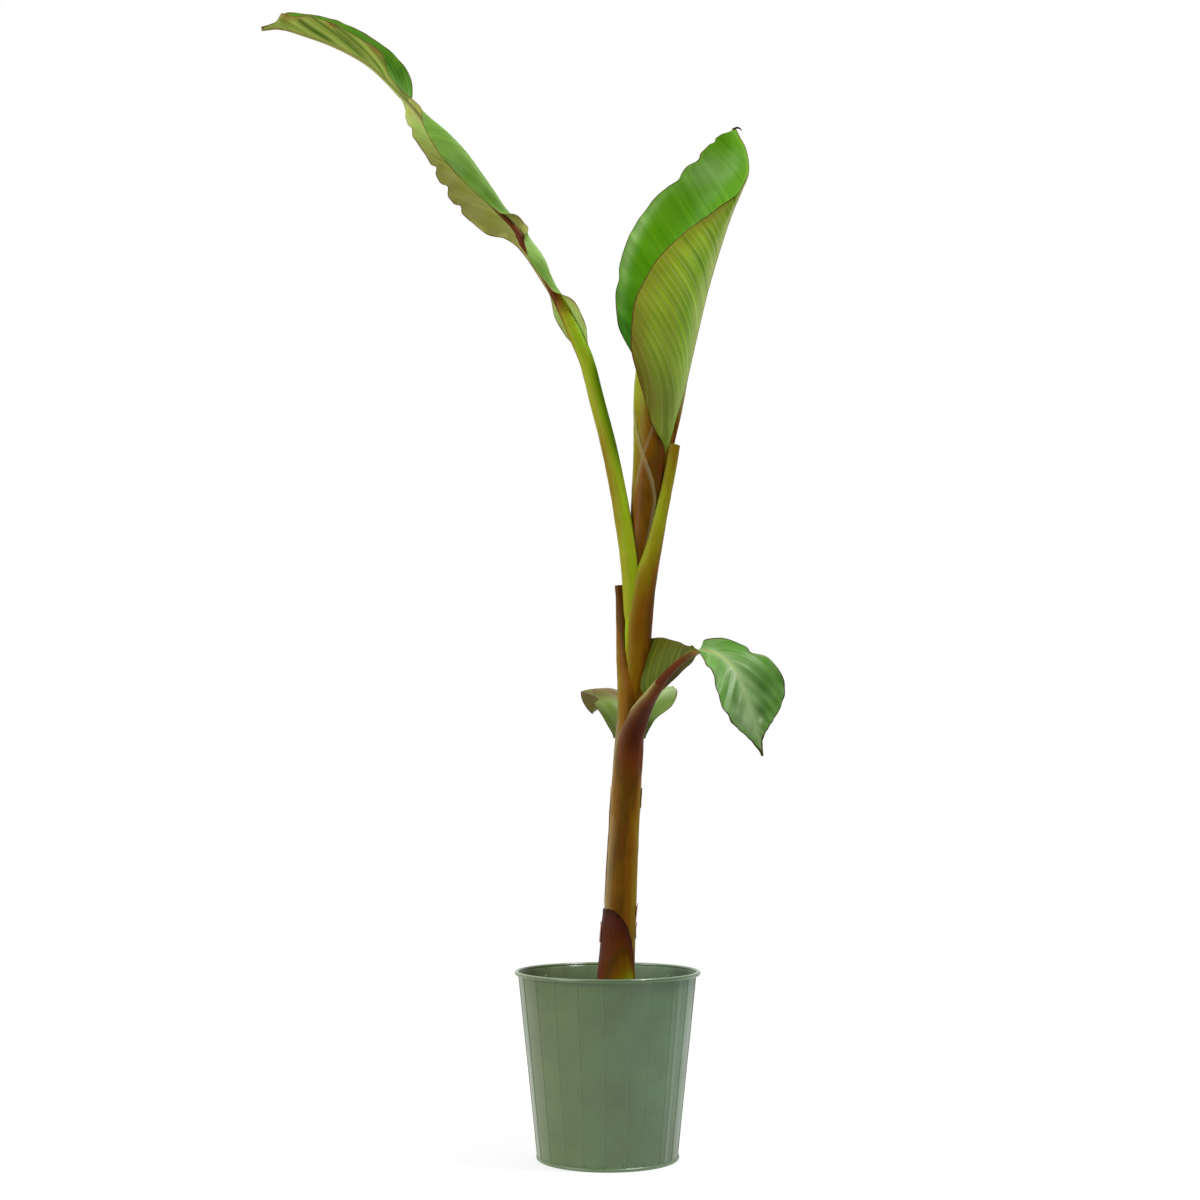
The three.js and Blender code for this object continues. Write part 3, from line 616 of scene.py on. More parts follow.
add(shader, {"Base Color": aged, "Roughness": matt, "Normal": relief, "IOR": 1.4, "Sheen Weight": 0.15})

dried_skins = [sheath_skin(DRIED_SHEATH, wall=0.9, lift=0.5, flare=0.9, ragged=4.0, seed=21)]
for k, (rows, lift) in enumerate(SCRAPS):
    dried_skins.append(sheath_skin(np.array(rows), wall=0.7, lift=lift, flare=1.2, ragged=1.0, steps=24,
                                   levels=12, seed=30 + k))
dried_sheath = make_piece("dried_sheath_skin", dried_skins, [dried_papery])
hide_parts("dried_back_sheath")
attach(dried_sheath, "root")

# The newest leaf comes up the middle of the stem as a tube, wound tight, and opens above it.
# It is olive and red brown, and the pale edges of its windings cross on the front.
# The tube's rows: place, half width and half depth
TUBE = np.array([
    [44.6, 0, 790, 16.4, 16.4], [49.6, 0, 845, 18.5, 18], [56.4, 0, 915, 21.5, 20],
    [59.4, 0, 958, 22.5, 20], [60.5, 0, 1030, 23, 18], [63, 0, 1085, 21, 14], [66, 0, 1115, 10, 6]])
# The tube's flush by height, at the left, front, right and back; its two lowest rows, deep between the
# stalks, are flushed dark brown as painted shade
TUBE_FLUSH = np.array([
    [790, 0.46, 0.46, 0.48, 0.40], [860, 0.38, 0.46, 0.50, 0.35], [930, 0.16, 0.45, 0.58, 0.32],
    [990, 0.12, 0.40, 0.52, 0.25], [1060, 0.10, 0.15, 0.30, 0.15], [1115, 0.10, 0.10, 0.15, 0.10]])
TUBE_ROWS = 110
TUBE_COLUMNS = 108
TUBE_LIP = 1.6
TUBE_SEAM = np.array([[790, -60], [880, -45], [905, -62], [950, -110], [1000, -150], [1115, -190]])
# The bloom on the edge of the winding, and a second pale edge: height and bearing
SEAM_BLOOM = (0.05, 0.12, 0.2, 0.27, 0.31, 0.31)
CROSSING = np.array([[891, -146], [926, -128], [949, -115], [980, -88], [1010, -60]])
CROSSING_FROM = 880.0
CROSSING_EASE = 30.0
CROSSING_BLOOM = 0.26
CROSSING_WIDTH = 5.0
heights = np.linspace(TUBE[0, 2], TUBE[-1, 2], TUBE_ROWS)
middle = eased(TUBE[:, 2], TUBE[:, :2], heights)
reach = eased(TUBE[:, 2], TUBE[:, 3:], heights)
seam = eased(TUBE_SEAM[:, 0], TUBE_SEAM[:, 1], heights)
tube_skin = wound_skin(heights, middle, reach, seam, TUBE_LIP, TUBE_FLUSH, TUBE_COLUMNS)
seam_bloom = np.zeros(TUBE_COLUMNS)
seam_bloom[-len(SEAM_BLOOM):] = SEAM_BLOOM
bearings = seam[:, None] + np.arange(TUBE_COLUMNS) * 360 / TUBE_COLUMNS
crossing = np.interp(heights, CROSSING[:, 0], CROSSING[:, 1])[:, None]
aside = (bearings - crossing + 180) % 360 - 180
crossing_bloom = CROSSING_BLOOM * np.clip((heights - CROSSING_FROM) / CROSSING_EASE, 0, 1)[:, None]
crossing_bloom = crossing_bloom * np.exp(-(aside / CROSSING_WIDTH) ** 2)
tube_skin["values"]["pale"] = np.maximum(seam_bloom, crossing_bloom)
tube = make_piece("rolled_leaf_tube_wound", [tube_skin], [banana_skin])
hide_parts("rolled_leaf_tube")
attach(tube, "root")

# Each leaf stalk is a sheath low down, open on its inner side, that narrows to a fleshy channelled stalk.
# Two leaves have been cut off: their stalks end in a clean cut that shows brown, spongy tissue.
STALK_WALL = 2.2
WALL_EDGE = 0.3
STALK_RIB = 0.14
STALK_RIB_GAP = 4.2
STALK_SWELL = (55, 41, 0.2)
CHANNEL_DEPTH = 0.32
CHANNEL_SPAN = 0.96
INNER_FLUSH = 0.14
RIGHT_FROM = 0.6
# The cut end: share of the stalk's outline and height of the rind's lip, then of the sunken heart
CUT_END = ((0.82, 0.4), (0.66, -2.4))
# A stalk's rows: place, half width, half depth, bearing of its back, degrees that the back wraps, how far
# it is a thin-walled sheath (1) or a solid stalk (0), and the flush at its left edge, middle and right edge
TALL_STALK = [
    [36, -11, 680, 6, 8, -150, 240, 0, 0.5, 0.16, 0.08],
    [34, -10, 735, 12, 12, -150, 240, 0, 0.5, 0.16, 0.08],
    [29.8, -9, 802, 13, 12, -150, 240, 0, 0.5, 0.17, 0.08],
    [22.6, -6, 855, 13, 12, -150, 240, 0, 0.5, 0.22, 0.08],
    [14.6, -4, 903, 12, 11.5, -148, 240, 0, 0.5, 0.26, 0.05],
    [2, 0, 964, 11.4, 11, -140, 240, 0, 0.55, 0.24, 0.0],
    [-13.1, 4, 1024, 11, 10, -124, 235, 0, 0.9, 0.14, 0.0],
    [-29.5, 6, 1088, 10.6, 9.4, -104, 230, 0, 1.2, 0.06, 0.0],
    [-41, 5, 1116, 10.6, 8.5, -98, 225, 0, 1.2, 0.04, 0.0],
    [-54, 5, 1146, 9.6, 7, -94, 220, 0, 1.2, 0.1, 0.0],
    [-70, 6, 1178, 8, 5.6, -92, 215, 0, 1.0, 0.45, 0.05],
    [-86, 8, 1204, 5, 4, -92, 210, 0, 1.0, 0.6, 0.45]]
RIGHT_STALK = [
    [35.5, -8, 595, 16, 14, -72, 250, 0.5, -0.5, 0.4, 0.6],
    [39.5, -8, 645, 18, 15, -72, 250, 0.5, -0.9, 0.39, 0.62],
    [44, -9, 724, 19, 16, -70, 250, 0.4, -0.9, 0.38, 0.62],
    [50, -9, 768, 17.5, 15, -64, 250, 0.2, -0.6, 0.32, 0.6],
    [62, -9, 815, 13, 12, -52, 245, 0.0, 0.04, 0.2, 0.5],
    [74.5, -7.5, 870, 10.4, 9, -40, 240, 0, 0.08, 0.15, 0.4],
    [85.5, -5, 920, 9, 8, -30, 235, 0, 0.16, 0.2, 0.32],
    [93.4, -4, 964, 8.6, 8, -30, 235, 0, 0.26, 0.27, 0.32]]
LEFT_STALK = [
    [29, -4, 540, 17, 17, -160, 250, 0.7, 0.36, 0.36, 0.44],
    [29.5, -7, 580, 17, 15, -160, 250, 0.7, 0.34, 0.34, 0.42],
    [28.5, -7, 620, 17, 14.5, -160, 250, 0.7, 0.32, 0.32, 0.42],
    [25.2, -5, 665, 13.5, 13, -160, 250, 0.6, 0.3, 0.32, 0.47],
    [20.8, -2, 715, 8.5, 9, -160, 245, 0.4, 0.3, 0.42, 0.5],
    [16, 0, 767, 5, 6, -160, 240, 0.3, 0.5, 0.49, 0.5]]
DROOP_STALK = [
    [22, 0, 425, 19.4, 19.4, -55, 320, 1, 0.12, 0.47, 0.05],
    [24, -1.5, 470, 20, 20, -55, 320, 1, 0.06, 0.47, 0.08],
    [25.8, -3.5, 503, 19.8, 19.2, -52, 310, 1, 0.14, 0.51, 0.28],
    [30.5, -8, 553, 19, 16, -50, 285, 0.9, 0.28, 0.67, 0.62],
    [40.5, -14, 582, 17, 14, -48, 260, 0.5, 0.4, 0.7, 0.8],
    [52, -28, 604, 13, 11, -46, 245, 0.1, 0.2, 0.68, 0.74],
    [64.5, -45.5, 621, 9, 8.5, -50, 235, 0, 0.15, 0.6, 0.6],
    [79, -62, 639, 6, 6, -70, 225, 0, 0.2, 0.56, 0.56]]
BACK_STALK = [
    [28.5, 8, 505, 16, 14, 90, 250, 0.6, 0.42, 0.41, 0.42],
    [30, 15, 530, 13, 11, 90, 245, 0.3, 0.48, 0.5, 0.48],
    [31, 27, 560, 8, 6, 90, 235, 0, 0.5, 0.55, 0.5],
    [31.5, 32, 576, 5, 4.5, 90, 230, 0, 0.4, 0.45, 0.4]]


def spread(points, spacing):
    """Places along a path, counted in its points, about a spacing apart."""
    lengths = np.linalg.norm(np.diff(points, axis=0), axis=1)
    parts = [np.linspace(k, k + 1, max(2, math.ceil(length / spacing)), endpoint=False)
             for k, length in enumerate(lengths)]
    return np.concatenate(parts + [[len(points) - 1.0]])


def along_path(points, places):
    """Points on a smooth curve through the given points."""
    padded = np.vstack([2 * points[0] - points[1], points, 2 * points[-1] - points[-2]])
    k = np.clip(np.floor(places).astype(int), 0, len(points) - 2)
    u = (places - k)[:, None]
    p0, p1, p2, p3 = (padded[k + i] for i in range(4))
    d0, d1, d2 = (np.sqrt(np.linalg.norm(b - a, axis=1))[:, None]
                  for a, b in ((p0, p1), (p1, p2), (p2, p3)))
    leave = ((p1 - p0) / d0 - (p2 - p0) / (d0 + d1) + (p2 - p1) / d1) * d1
    arrive = ((p2 - p1) / d1 - (p3 - p1) / (d1 + d2) + (p3 - p2) / d2) * d1
    return (p1 + leave * u + (3 * (p2 - p1) - 2 * leave - arrive) * u ** 2
            + (2 * (p1 - p2) + leave + arrive) * u ** 3)


def path_length(points):
    """Length walked along a row of points, at each of them."""
    return np.concatenate([[0], np.cumsum(np.linalg.norm(np.diff(points, axis=0), axis=1))])


def stalk_skin(rows, cut=False, spacing=3.5, steps=36, edge_bloom=0.0):
    """A sheath that becomes a stalk: an outer back round an arc, and an inner side between its edges."""
    rows = np.array(rows, float)
    places = spread(rows[:, :3], spacing)
    centre = along_path(rows[:, :3], places)
    along = unit(np.gradient(centre, axis=0))
    wide, deep, bearing, wrap, hollow, left, middle, right = eased(
        np.arange(len(rows)), rows[:, 3:], places).T[..., None]
    facing = np.concatenate([np.cos(np.radians(bearing)), np.sin(np.radians(bearing)), 0 * bearing], 1)
    facing = unit(facing - np.sum(facing * along, 1, keepdims=True) * along)
    sideways = np.cross(along, facing)
    run = path_length(centre)[:, None]
    t = np.linspace(-1, 1, steps)[None]
    angle = np.radians(wrap / 2) * t
    arc = angle * (wide + deep) / 2
    ribs = STALK_RIB * np.sin(arc * 2 * np.pi / STALK_RIB_GAP) + wobble(run, *STALK_SWELL)
    ribs = ribs * (1 - t ** 4)

    def ellipse(half_wide, half_deep):
        return (centre[:, None] + (half_wide * np.sin(angle))[..., None] * sideways[:, None]
                + (half_deep * np.cos(angle))[..., None] * facing[:, None])

    outer = ellipse(wide + ribs, deep + ribs)
    thick = STALK_WALL * (1 - (1 - WALL_EDGE) * t ** 2)
    across = (CHANNEL_SPAN * t)[..., None]
    chord = outer[:, :1] * (1 - across) / 2 + outer[:, -1:] * (1 + across) / 2
    channel = chord + (CHANNEL_DEPTH * deep * (1 - t ** 2))[..., None] * facing[:, None]
    hollow = hollow[..., None]
    rings = closed(outer, channel * (1 - hollow) + ellipse(wide - thick, deep - thick) * hollow)
    shade = middle + (left - middle) * np.clip(-t, 0, 1) ** 3
    shade = shade + (right - middle) * np.clip(t / RIGHT_FROM, 0, 1)
    inside = INNER_FLUSH + (shade - INNER_FLUSH) * np.abs(t) ** 3
    # Painted highlight: the outer back turns pale towards both of its edges
    pale = np.broadcast_to(edge_bloom * t ** 4, shade.shape)
    values = {"tint": closed(shade, inside), "pale": closed(pale, pale), "round": closed(arc, arc) * MM,
              "run": run * MM}
    slots = np.zeros(len(rings) - 1, int)
    if cut:
        heart = rings[-1].mean(0)
        end = [heart + share * (rings[-1] - heart) + height * along[-1] for share, height in CUT_END]
        rings = np.concatenate([rings, end])
        values = {key: np.concatenate([value, value[-1:], value[-1:]]) for key, value in values.items()}
        slots = np.concatenate([slots, [1, 1]])
    return {"rings": rings, "values": values, "slots": slots[:, None]}


# Cut banana stalk: a thin dark rind round spongy tissue that has dried brown, with air cells 2 mm across
cut_tissue, add, shader = start_material("dried_cut_tissue")
place = add("TexCoord").outputs["Object"]
cells = add("TexVoronoi", {"Vector": place, "Scale": 1 / (2 * MM)})
flesh = add("ValToRGB", {"Fac": cells}, stops=[(0.0, "#3a1f10"), (0.45, "#7a5030"), (0.8, "#b08a5c")])
dry = add("MapRange", {"Value": cells, "To Min": 0.95, "To Max": 0.7})
relief = add("Bump", {"Strength": 0.7, "Distance": 0.8 * MM, "Height": cells})
add(shader, {"Base Color": flesh, "Roughness": dry, "Normal": relief, "IOR": 1.4})

# The drooping stalk's pale sheath edges are a painted highlight
for name, rows, node, finish, is_cut, edge_bloom in (
        ("tall_leaf_stalk", TALL_STALK, "tall_leaf_petiole", "green_petiole", False, 0.0),
        ("right_stalk_cut", RIGHT_STALK, "right_cut_petiole", "olive_petiole", True, 0.0),
        ("left_sheath_cut", LEFT_STALK, "left_cut_sheath", "maroon_sheath", True, 0.0),
        ("drooping_leaf_stalk", DROOP_STALK, "drooping_leaf_petiole", "maroon_sheath", False, 0.6),
        ("back_leaf_stalk", BACK_STALK, "back_leaf_petiole", "maroon_sheath", False, 0.0)):
    skin = stalk_skin(rows, cut=is_cut, edge_bloom=edge_bloom)
    stalk = make_piece(name, [skin], [banana_skin, cut_tissue])
    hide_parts(node)
    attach(stalk, "root")

# The leaf blades are thin, soft sheets on each side of a fleshy midrib, with side veins that run out in
# parallel from it. Each one opened from a roll, so it is still folded, curled or pleated.
TOWARDS_VIEWER = np.array([0.0, -1.0, 0.0])
LEFT, RIGHT = 1, 2
FOLD_FROM = 0.1
FOLD_TO = 0.75
BLADE_HALF = 0.55
MARGIN_HALF = 0.45
TAPER_START = 0.15
TAPER_BULGE = 0.7
VEIN_STEP = 6.0
VEIN_RISE = 0.14
# Widths from which veins, ruffles and pleats are full, and the stations over which pleats come in
VEIN_FULL = 6.0
RUFFLE_FULL = 25.0
RUFFLE_SLANT = 0.5
PLEAT_FULL = 12.0
PLEAT_EASE = 1.2
DRY_MARGIN = 0.85
MIDRIB_DROP = 0.45
MIDRIB_FLAT = 0.9
# The vein counts of the two halves are set far apart, so that their patterns differ
VEINS_APART = 9000


def leaf_skin(stations, vein_slants, side=None, ruffles=(), notches=(), pleats=(), taper=0.0,
              dry_from=None, marks=(), spacing=2.6, steps=26):
    """A blade as one closed skin, and the guide that its midrib follows. A station has its place on the
    midrib, then for the left and the right half, as seen from the upper face, the width, the direction in
    which the half leaves the midrib (0 is across it and 90 towards the face) and its turn on the way out.
    A ruffle has its half, height, wavelength and seed; a notch its half, station, depth and breadth; a
    pleat its half, first and last station, height and step. A mark is a soft spot of stain or fade on one
    half, a few of them painted shade and painted highlights: its station, its share out to the margin, its
    length, breadth and strength."""
    midrib = np.array([station[0] for station in stations], float)
    keys = np.arange(len(stations))
    places = spread(midrib, spacing)
    centre = along_path(midrib, places)
    along = unit(np.gradient(centre, axis=0))
    right = unit(np.cross(along, TOWARDS_VIEWER) if side is None else np.broadcast_to(side, along.shape))
    face = unit(np.cross(right, along))
    run = path_length(centre)
    slant = np.radians(eased(keys, vein_slants, places))
    climb = np.concatenate([[0], np.cumsum(np.diff(run) * np.sin(slant)[1:])])[:, None]
    shares = np.linspace(0, 1, steps + 1)
    halves = {}
    for half, sign in ((LEFT, -1), (RIGHT, 1)):
        width, start, turn = eased(keys, [station[half] for station in stations], places).T[..., None]
        if taper:
            opened = np.clip(run[:, None] / taper, 0, 1) ** TAPER_BULGE
            width = width * (TAPER_START + (1 - TAPER_START) * opened)
        for where, at, depth, breadth in notches:
            if where == half:
                width = width * (1 - depth * np.exp(-((places[:, None] - at) / breadth) ** 2))

        def heading(share):
            fold = np.clip((share - FOLD_FROM) / (FOLD_TO - FOLD_FROM), 0, 1)
            return np.radians(start + turn * smooth(fold))

        steps_out = heading((shares[1:] + shares[:-1]) / 2)
        across, lift = (np.pad(np.cumsum(width / steps * part, 1), ((0, 0), (1, 0)))[..., None]
                        for part in (np.cos(steps_out), np.sin(steps_out)))
        upward = (heading(shares) + sign * np.pi / 2)[..., None]
        normal = np.cos(upward) * right[:, None] + np.sin(upward) * face[:, None]
        out = width * shares
        vein = climb - out * np.cos(slant)[:, None]
        rise = VEIN_RISE * np.sin(2 * np.pi * vein / VEIN_STEP) * np.clip(out / VEIN_FULL, 0, 1)
        for where, size, wavelength, seed in ruffles:
            if where == half:
                ruffle = wobble(run[:, None] - RUFFLE_SLANT * out, wavelength, seed)
                rise = rise + size * shares ** 3 * np.clip(width / RUFFLE_FULL, 0, 1) * ruffle
        for where, first, last, size, step in pleats:
            if where == half:
                within = np.clip(np.minimum(places - first, last - places) / PLEAT_EASE, 0, 1)[:, None]
                fade_in = within * np.clip(out / PLEAT_FULL, 0, 1)
                rise = rise + size * fade_in * np.sin(2 * np.pi * vein / step)
        surface = (centre[:, None] + across * right[:, None] + lift * face[:, None]
                   + rise[..., None] * normal)
        edge = width * (1 - shares)
        if dry_from is not None:
            dry = np.clip((places - dry_from) / (keys[-1] - dry_from), 0, 1)
            edge = edge * (1 - DRY_MARGIN * dry[:, None])
        halves[half] = {"surface": surface, "normal": normal, "vein": vein + VEINS_APART * sign, "out": out,
                        "edge": edge, "across": np.broadcast_to(shares, out.shape)}
        for kind in ("stain", "fade"):
            shown = np.zeros(out.shape)
            for key, where, at, share, length, breadth, strength in marks:
                if (key, where) == (kind, half):
                    distance = ((places[:, None] - at) / length) ** 2 + ((shares - share) / breadth) ** 2
                    shown = shown + strength * np.exp(-distance)
            halves[half][kind] = np.clip(shown, 0, 1)
    upper_side = unit(halves[LEFT]["normal"][:, 0] + halves[RIGHT]["normal"][:, 0])
    halves[RIGHT]["normal"][:, 0] = upper_side
    whole = {key: np.concatenate([halves[LEFT][key][:, :0:-1], halves[RIGHT][key]], 1)
             for key in halves[LEFT]}
    half_thick = (BLADE_HALF * (1 - (1 - MARGIN_HALF) * whole["across"]))[..., None] * whole["normal"]
    rings = closed(whole["surface"] + half_thick, whole["surface"] - half_thick)
    values = {key: closed(whole[key], whole[key]) * scale for key, scale in
              (("vein", MM), ("out", MM), ("edge", MM), ("across", 1), ("stain", 1), ("fade", 1))}
    guide = {"places": places, "centre": centre, "along": along, "under": -upper_side, "run": run}
    return {"rings": rings, "values": values, "slots": np.repeat((0, 1), rings.shape[1] // 2)}, guide


def midrib_skin(guide, keys, radii, flush, bloom, sides=14):
    """The midrib: a tapering rod along the underside of a blade."""
    radius, tint, pale = eased(keys, np.transpose([radii, flush, bloom]), guide["places"]).T[..., None]
    across = unit(np.cross(guide["along"], guide["under"]))[:, None]
    under = guide["under"][:, None]
    angle = np.linspace(0, 2 * np.pi, sides, endpoint=False)
    core = guide["centre"][:, None] + MIDRIB_DROP * radius[..., None] * under
    swing = np.cos(angle)[:, None] * across + MIDRIB_FLAT * np.sin(angle)[:, None] * under
    return {"rings": core + radius[..., None] * swing, "slots": 2, "values": {
        "tint": tint, "pale": pale, "run": guide["run"][:, None] * MM, "round": angle * radius * MM}}


def leaf_face(name, deep, fresh, vein, outer, bloom, stain, fade, margin="#745128", vein_gap=9.0,
              vein_show=0.5, outer_show=0.6, bloom_show=0.3, margin_width=1.4, gloss=(0.3, 0.48),
              streak=(0.3, 0.68)):
    """One side of a leaf blade. Living leaf: green tissue streaked along its side veins, paler on them,
    changed towards the margin, with a faint wax bloom, stained or faded spots, a few of them painted shade
    and painted highlights, and a thin brown edge. The fine veins are about 1 mm apart and are drawn at 4 mm
    so that they show."""
    material, add, shader = start_material(name)
    read = {key: add("Attribute", attribute_name=key).outputs["Fac"]
            for key in ("vein", "out", "edge", "across", "stain", "fade")}
    place = add("TexCoord").outputs["Object"]
    patches = add("TexNoise", {"Vector": place, "Scale": 1 / (30 * MM), "Detail": 3.0})
    streaks, threads = (
        add("TexNoise", {"W": read["vein"], "Scale": 1 / gap, "Detail": detail}, noise_dimensions="1D")
        for gap, detail in ((12 * MM, 3.0), (4 * MM, 1.0)))
    green = add("ValToRGB", {"Fac": streaks}, stops=[(streak[0], deep), (streak[1], fresh)])
    drift = add("Math", {0: streaks, 1: 6 * MM, 2: read["vein"]}, operation="MULTIPLY_ADD")
    count = add("Math", {0: drift, 1: vein_gap * MM}, operation="DIVIDE")
    within = add("Math", {0: count}, operation="FRACT")
    line = add("ValToRGB", {"Fac": within}, stops=[(0.38, 0.0), (0.5, 1.0), (0.62, 0.0)])
    line_show = add("Math", {0: line, 1: vein_show}, operation="MULTIPLY")
    far = add("MapRange", {"Value": read["across"], "From Min": 0.25, "To Max": outer_show})
    wax = add("MapRange", {"Value": patches, "From Min": 0.4, "From Max": 0.75, "To Max": bloom_show})
    uneven = add("Math", {0: streaks, 1: 1.4, 2: 0.3}, operation="MULTIPLY_ADD")
    stained = add("Math", {0: read["stain"], 1: uneven}, operation="MULTIPLY")
    faded = add("Math", {0: read["fade"], 1: uneven}, operation="MULTIPLY")
    near_rib = add("MapRange", {"Value": read["out"], "From Min": 1.5 * MM, "From Max": 7 * MM,
                                "To Min": 0.75, "To Max": 0.0})
    ragged = add("Math", {0: patches, 1: 2 * margin_width * MM}, operation="MULTIPLY")
    inner = add("Math", {0: ragged, 1: 0.6 * MM}, operation="SUBTRACT")
    dry = add("MapRange", {"Value": read["edge"], "From Min": inner, "From Max": ragged, "To Min": 0.9,
                           "To Max": 0.0})
    shades = green
    for share, colour in ((line_show, vein), (far, outer), (wax, bloom), (stained, stain), (faded, fade),
                          (near_rib, vein), (dry, margin)):
        shades = add("Mix", {"Factor": share, "A": shades, "B": colour}, data_type="RGBA")
    shine = add("MapRange", {"Value": patches, "From Min": 0.3, "From Max": 0.7, "To Min": gloss[0],
                             "To Max": gloss[1]})
    height = add("Math", {0: threads, 1: 0.6, 2: line}, operation="MULTIPLY_ADD")
    relief = add("Bump", {"Strength": 0.25, "Distance": 0.3 * MM, "Height": height})
    add(shader, {"Base Color": shades, "Roughness": shine, "Normal": relief, "IOR": 1.45,
                 "Specular IOR Level": 0.15})
    return material


# The tall leaf leans far out to the left. Its midrib turns its back to the front, the upper half of the
# blade folds over forwards, and near the tip the near half is pleated lengthwise
TALL_LEAF = [
    ((-29.5, 6, 1090), (18, 20, 10), (9, 190, 0)), ((-58, 5, 1152), (21.5, 15, 15), (16, 186, 0)),
    ((-79, 6, 1190), (23, 10, 150), (6, 190, 0)), ((-102, 8, 1228), (42, 5, 172), (6, 200, 0)),
    ((-117, 8, 1254), (32, 0, 150), (9, 190, 0)), ((-131, 8, 1279), (16, 0, 20), (22, 182, -6)),
    ((-152, 8, 1301), (30, 0, 165), (38, 178, -12)), ((-186, 8, 1336), (56, 0, 178), (40, 178, -12)),
    ((-222, 8, 1377), (70, 0, 178), (30, 178, -10)), ((-244, 8, 1406), (60, 0, 172), (23, 182, -10)),
    ((-259, 8, 1430), (38, 6, 160), (24, 190, -10)), ((-279, 8, 1458), (12, 20, 40), (19, 215, 5)),
    ((-299, 9, 1480), (8, 40, -10), (40, 270, 60)), ((-316, 10, 1499), (9, 50, -20), (49, 290, 62)),
    ((-341, 11, 1523), (27, 50, -28), (51, 300, 55)), ((-371, 13, 1543), (28, 52, -28), (49, 310, 47)),
    ((-405, 15, 1560), (31, 56, -32), (47, 318, 40)), ((-439, 17, 1573), (29, 58, -44), (40, 325, 35)),
    ((-462, 18, 1581), (22, 60, -50), (33, 330, 30)), ((-472, 18.5, 1583), (23, 55, -40), (29, 332, 28)),
    ((-480, 19, 1584), (9, 50, -30), (11, 335, 20)), ((-501, 20, 1582), (5, 30, 0), (7, 340, 0))]
TALL_SLANTS = [24] * 12 + [20] * 2 + [15] * 8
TALL_NOTCHES = [(RIGHT, 6.95, 0.16, 0.10), (RIGHT, 7.55, 0.2, 0.12), (RIGHT, 8.2, 0.22, 0.12),
                (RIGHT, 10.35, 0.2, 0.2)]
TALL_RUFFLES = [(RIGHT, 1.6, 60, 51), (LEFT, 1.2, 90, 52)]
TALL_MARKS = [
    ("fade", LEFT, 0.4, 0.3, 1.0, 0.8, 1.0), ("fade", RIGHT, 1.0, 0.8, 1.0, 0.6, 0.7),
    ("fade", LEFT, 3.4, 0.6, 1.0, 0.8, 0.7),
    ("stain", LEFT, 14.1, 1.0, 0.25, 0.2, 1.0),
    ("stain", LEFT, 16.0, 1.0, 0.2, 0.2, 1.0), ("stain", LEFT, 18.4, 0.9, 1.0, 0.3, 0.6),
    ("fade", RIGHT, 10.0, 0.4, 1.2, 0.8, 0.7)]
tall_upper = leaf_face(
    "tall_leaf_upper_face", "#557f20", "#74a036", "#8fae54", "#74a03c", "#8fb26c", "#8a5a20", "#98c060",
    vein_gap=5.0, vein_show=0.25, gloss=(0.45, 0.6))
tall_lower = leaf_face(
    "tall_leaf_underside", "#99a23c", "#b4ba56", "#c4c87c", "#aca454", "#c0c488", "#8a5a1c", "#acd068",
    vein_gap=7.0, vein_show=0.35, gloss=(0.45, 0.6))
tip_upper = leaf_face(
    "tall_tip_upper_face", "#498014", "#609c22", "#729f37", "#5b971f", "#6d9b3a", "#6a6a1c", "#7aa244",
    vein_gap=5.0, vein_show=0.25, gloss=(0.5, 0.62))
tip_lower = leaf_face(
    "tall_tip_underside", "#4e7214", "#a0b24c", "#a0ae54", "#808830", "#9cae54", "#8a5a20", "#c4cc80",
    vein_gap=7.0, vein_show=0.2, outer_show=0.3, gloss=(0.45, 0.6), streak=(0.4, 0.58))
TIP_FROM = 11.4
blade, guide = leaf_skin(
    TALL_LEAF, TALL_SLANTS, ruffles=TALL_RUFFLES, notches=TALL_NOTCHES, marks=TALL_MARKS,
    pleats=[(LEFT, 12.6, 19.6, 2.2, 18.0)], taper=40.0, dry_from=20.6)
rib = midrib_skin(guide, [0, 1, 2, 3.2, 4.2, 5.2, 8, 11, 21],
                  [2.5, 3.0, 4.0, 2.6, 5.6, 3.4, 2.4, 2.6, 1.2],
                  [0.25, 0.4, 0.55, 0.5, 0.62, 0.58, 0.4, 0.1, 0.3],
                  [0, 0, 0, 0, 0, 0, 0.2, 0.5, 0.2])
in_tip = guide["places"][:-1, None] > TIP_FROM
blade["slots"] = np.where(in_tip, blade["slots"] + 3, blade["slots"])
tall_leaf = make_piece("tall_leaf", [blade, rib],
                       [tall_upper, tall_lower, banana_skin, tip_upper, tip_lower])
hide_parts("tall_leaf_base", "tall_leaf_middle", "tall_leaf_tip")

# The rolled leaf has only begun to open: a scroll round its midrib, open to the left, with its glossy upper
# face inside and its olive underside with pale veins outside
ROLLED_LEAF = [
    ((81, -1, 938), (14, -100, -70), (20, 100, 70)), ((94, -1, 993), (40, -100, -78), (56, 100, 80)),
    ((104, 0, 1028), (66, -102, -76), (89, 102, 80)), ((114, 0, 1070), (100, -108, -70), (114, 106, 82)),
    ((126, 0, 1122), (144, -118, -60), (120, 112, 80)), ((142, 0, 1188), (158, -126, -50), (101, 118, 74)),
    ((159, 0, 1246), (153, -130, -46), (66, 122, 66)), ((177, 0, 1300), (134, -132, -42), (24, 120, 50)),
    ((190, 0, 1331), (114, -134, -40), (6, 105, 10)), ((201, 0, 1361), (93, -138, -36), (4, 90, 0)),
    ((197, 0, 1394), (57, -142, -32), (3, 75, 0)), ((188, 0, 1412), (28, -146, -24), (3, 60, 0)),
    ((181, 0, 1426), (3, -150, 0), (3, 40, 0))]
ROLLED_SIDE = np.array([0.95, 0, -0.31])
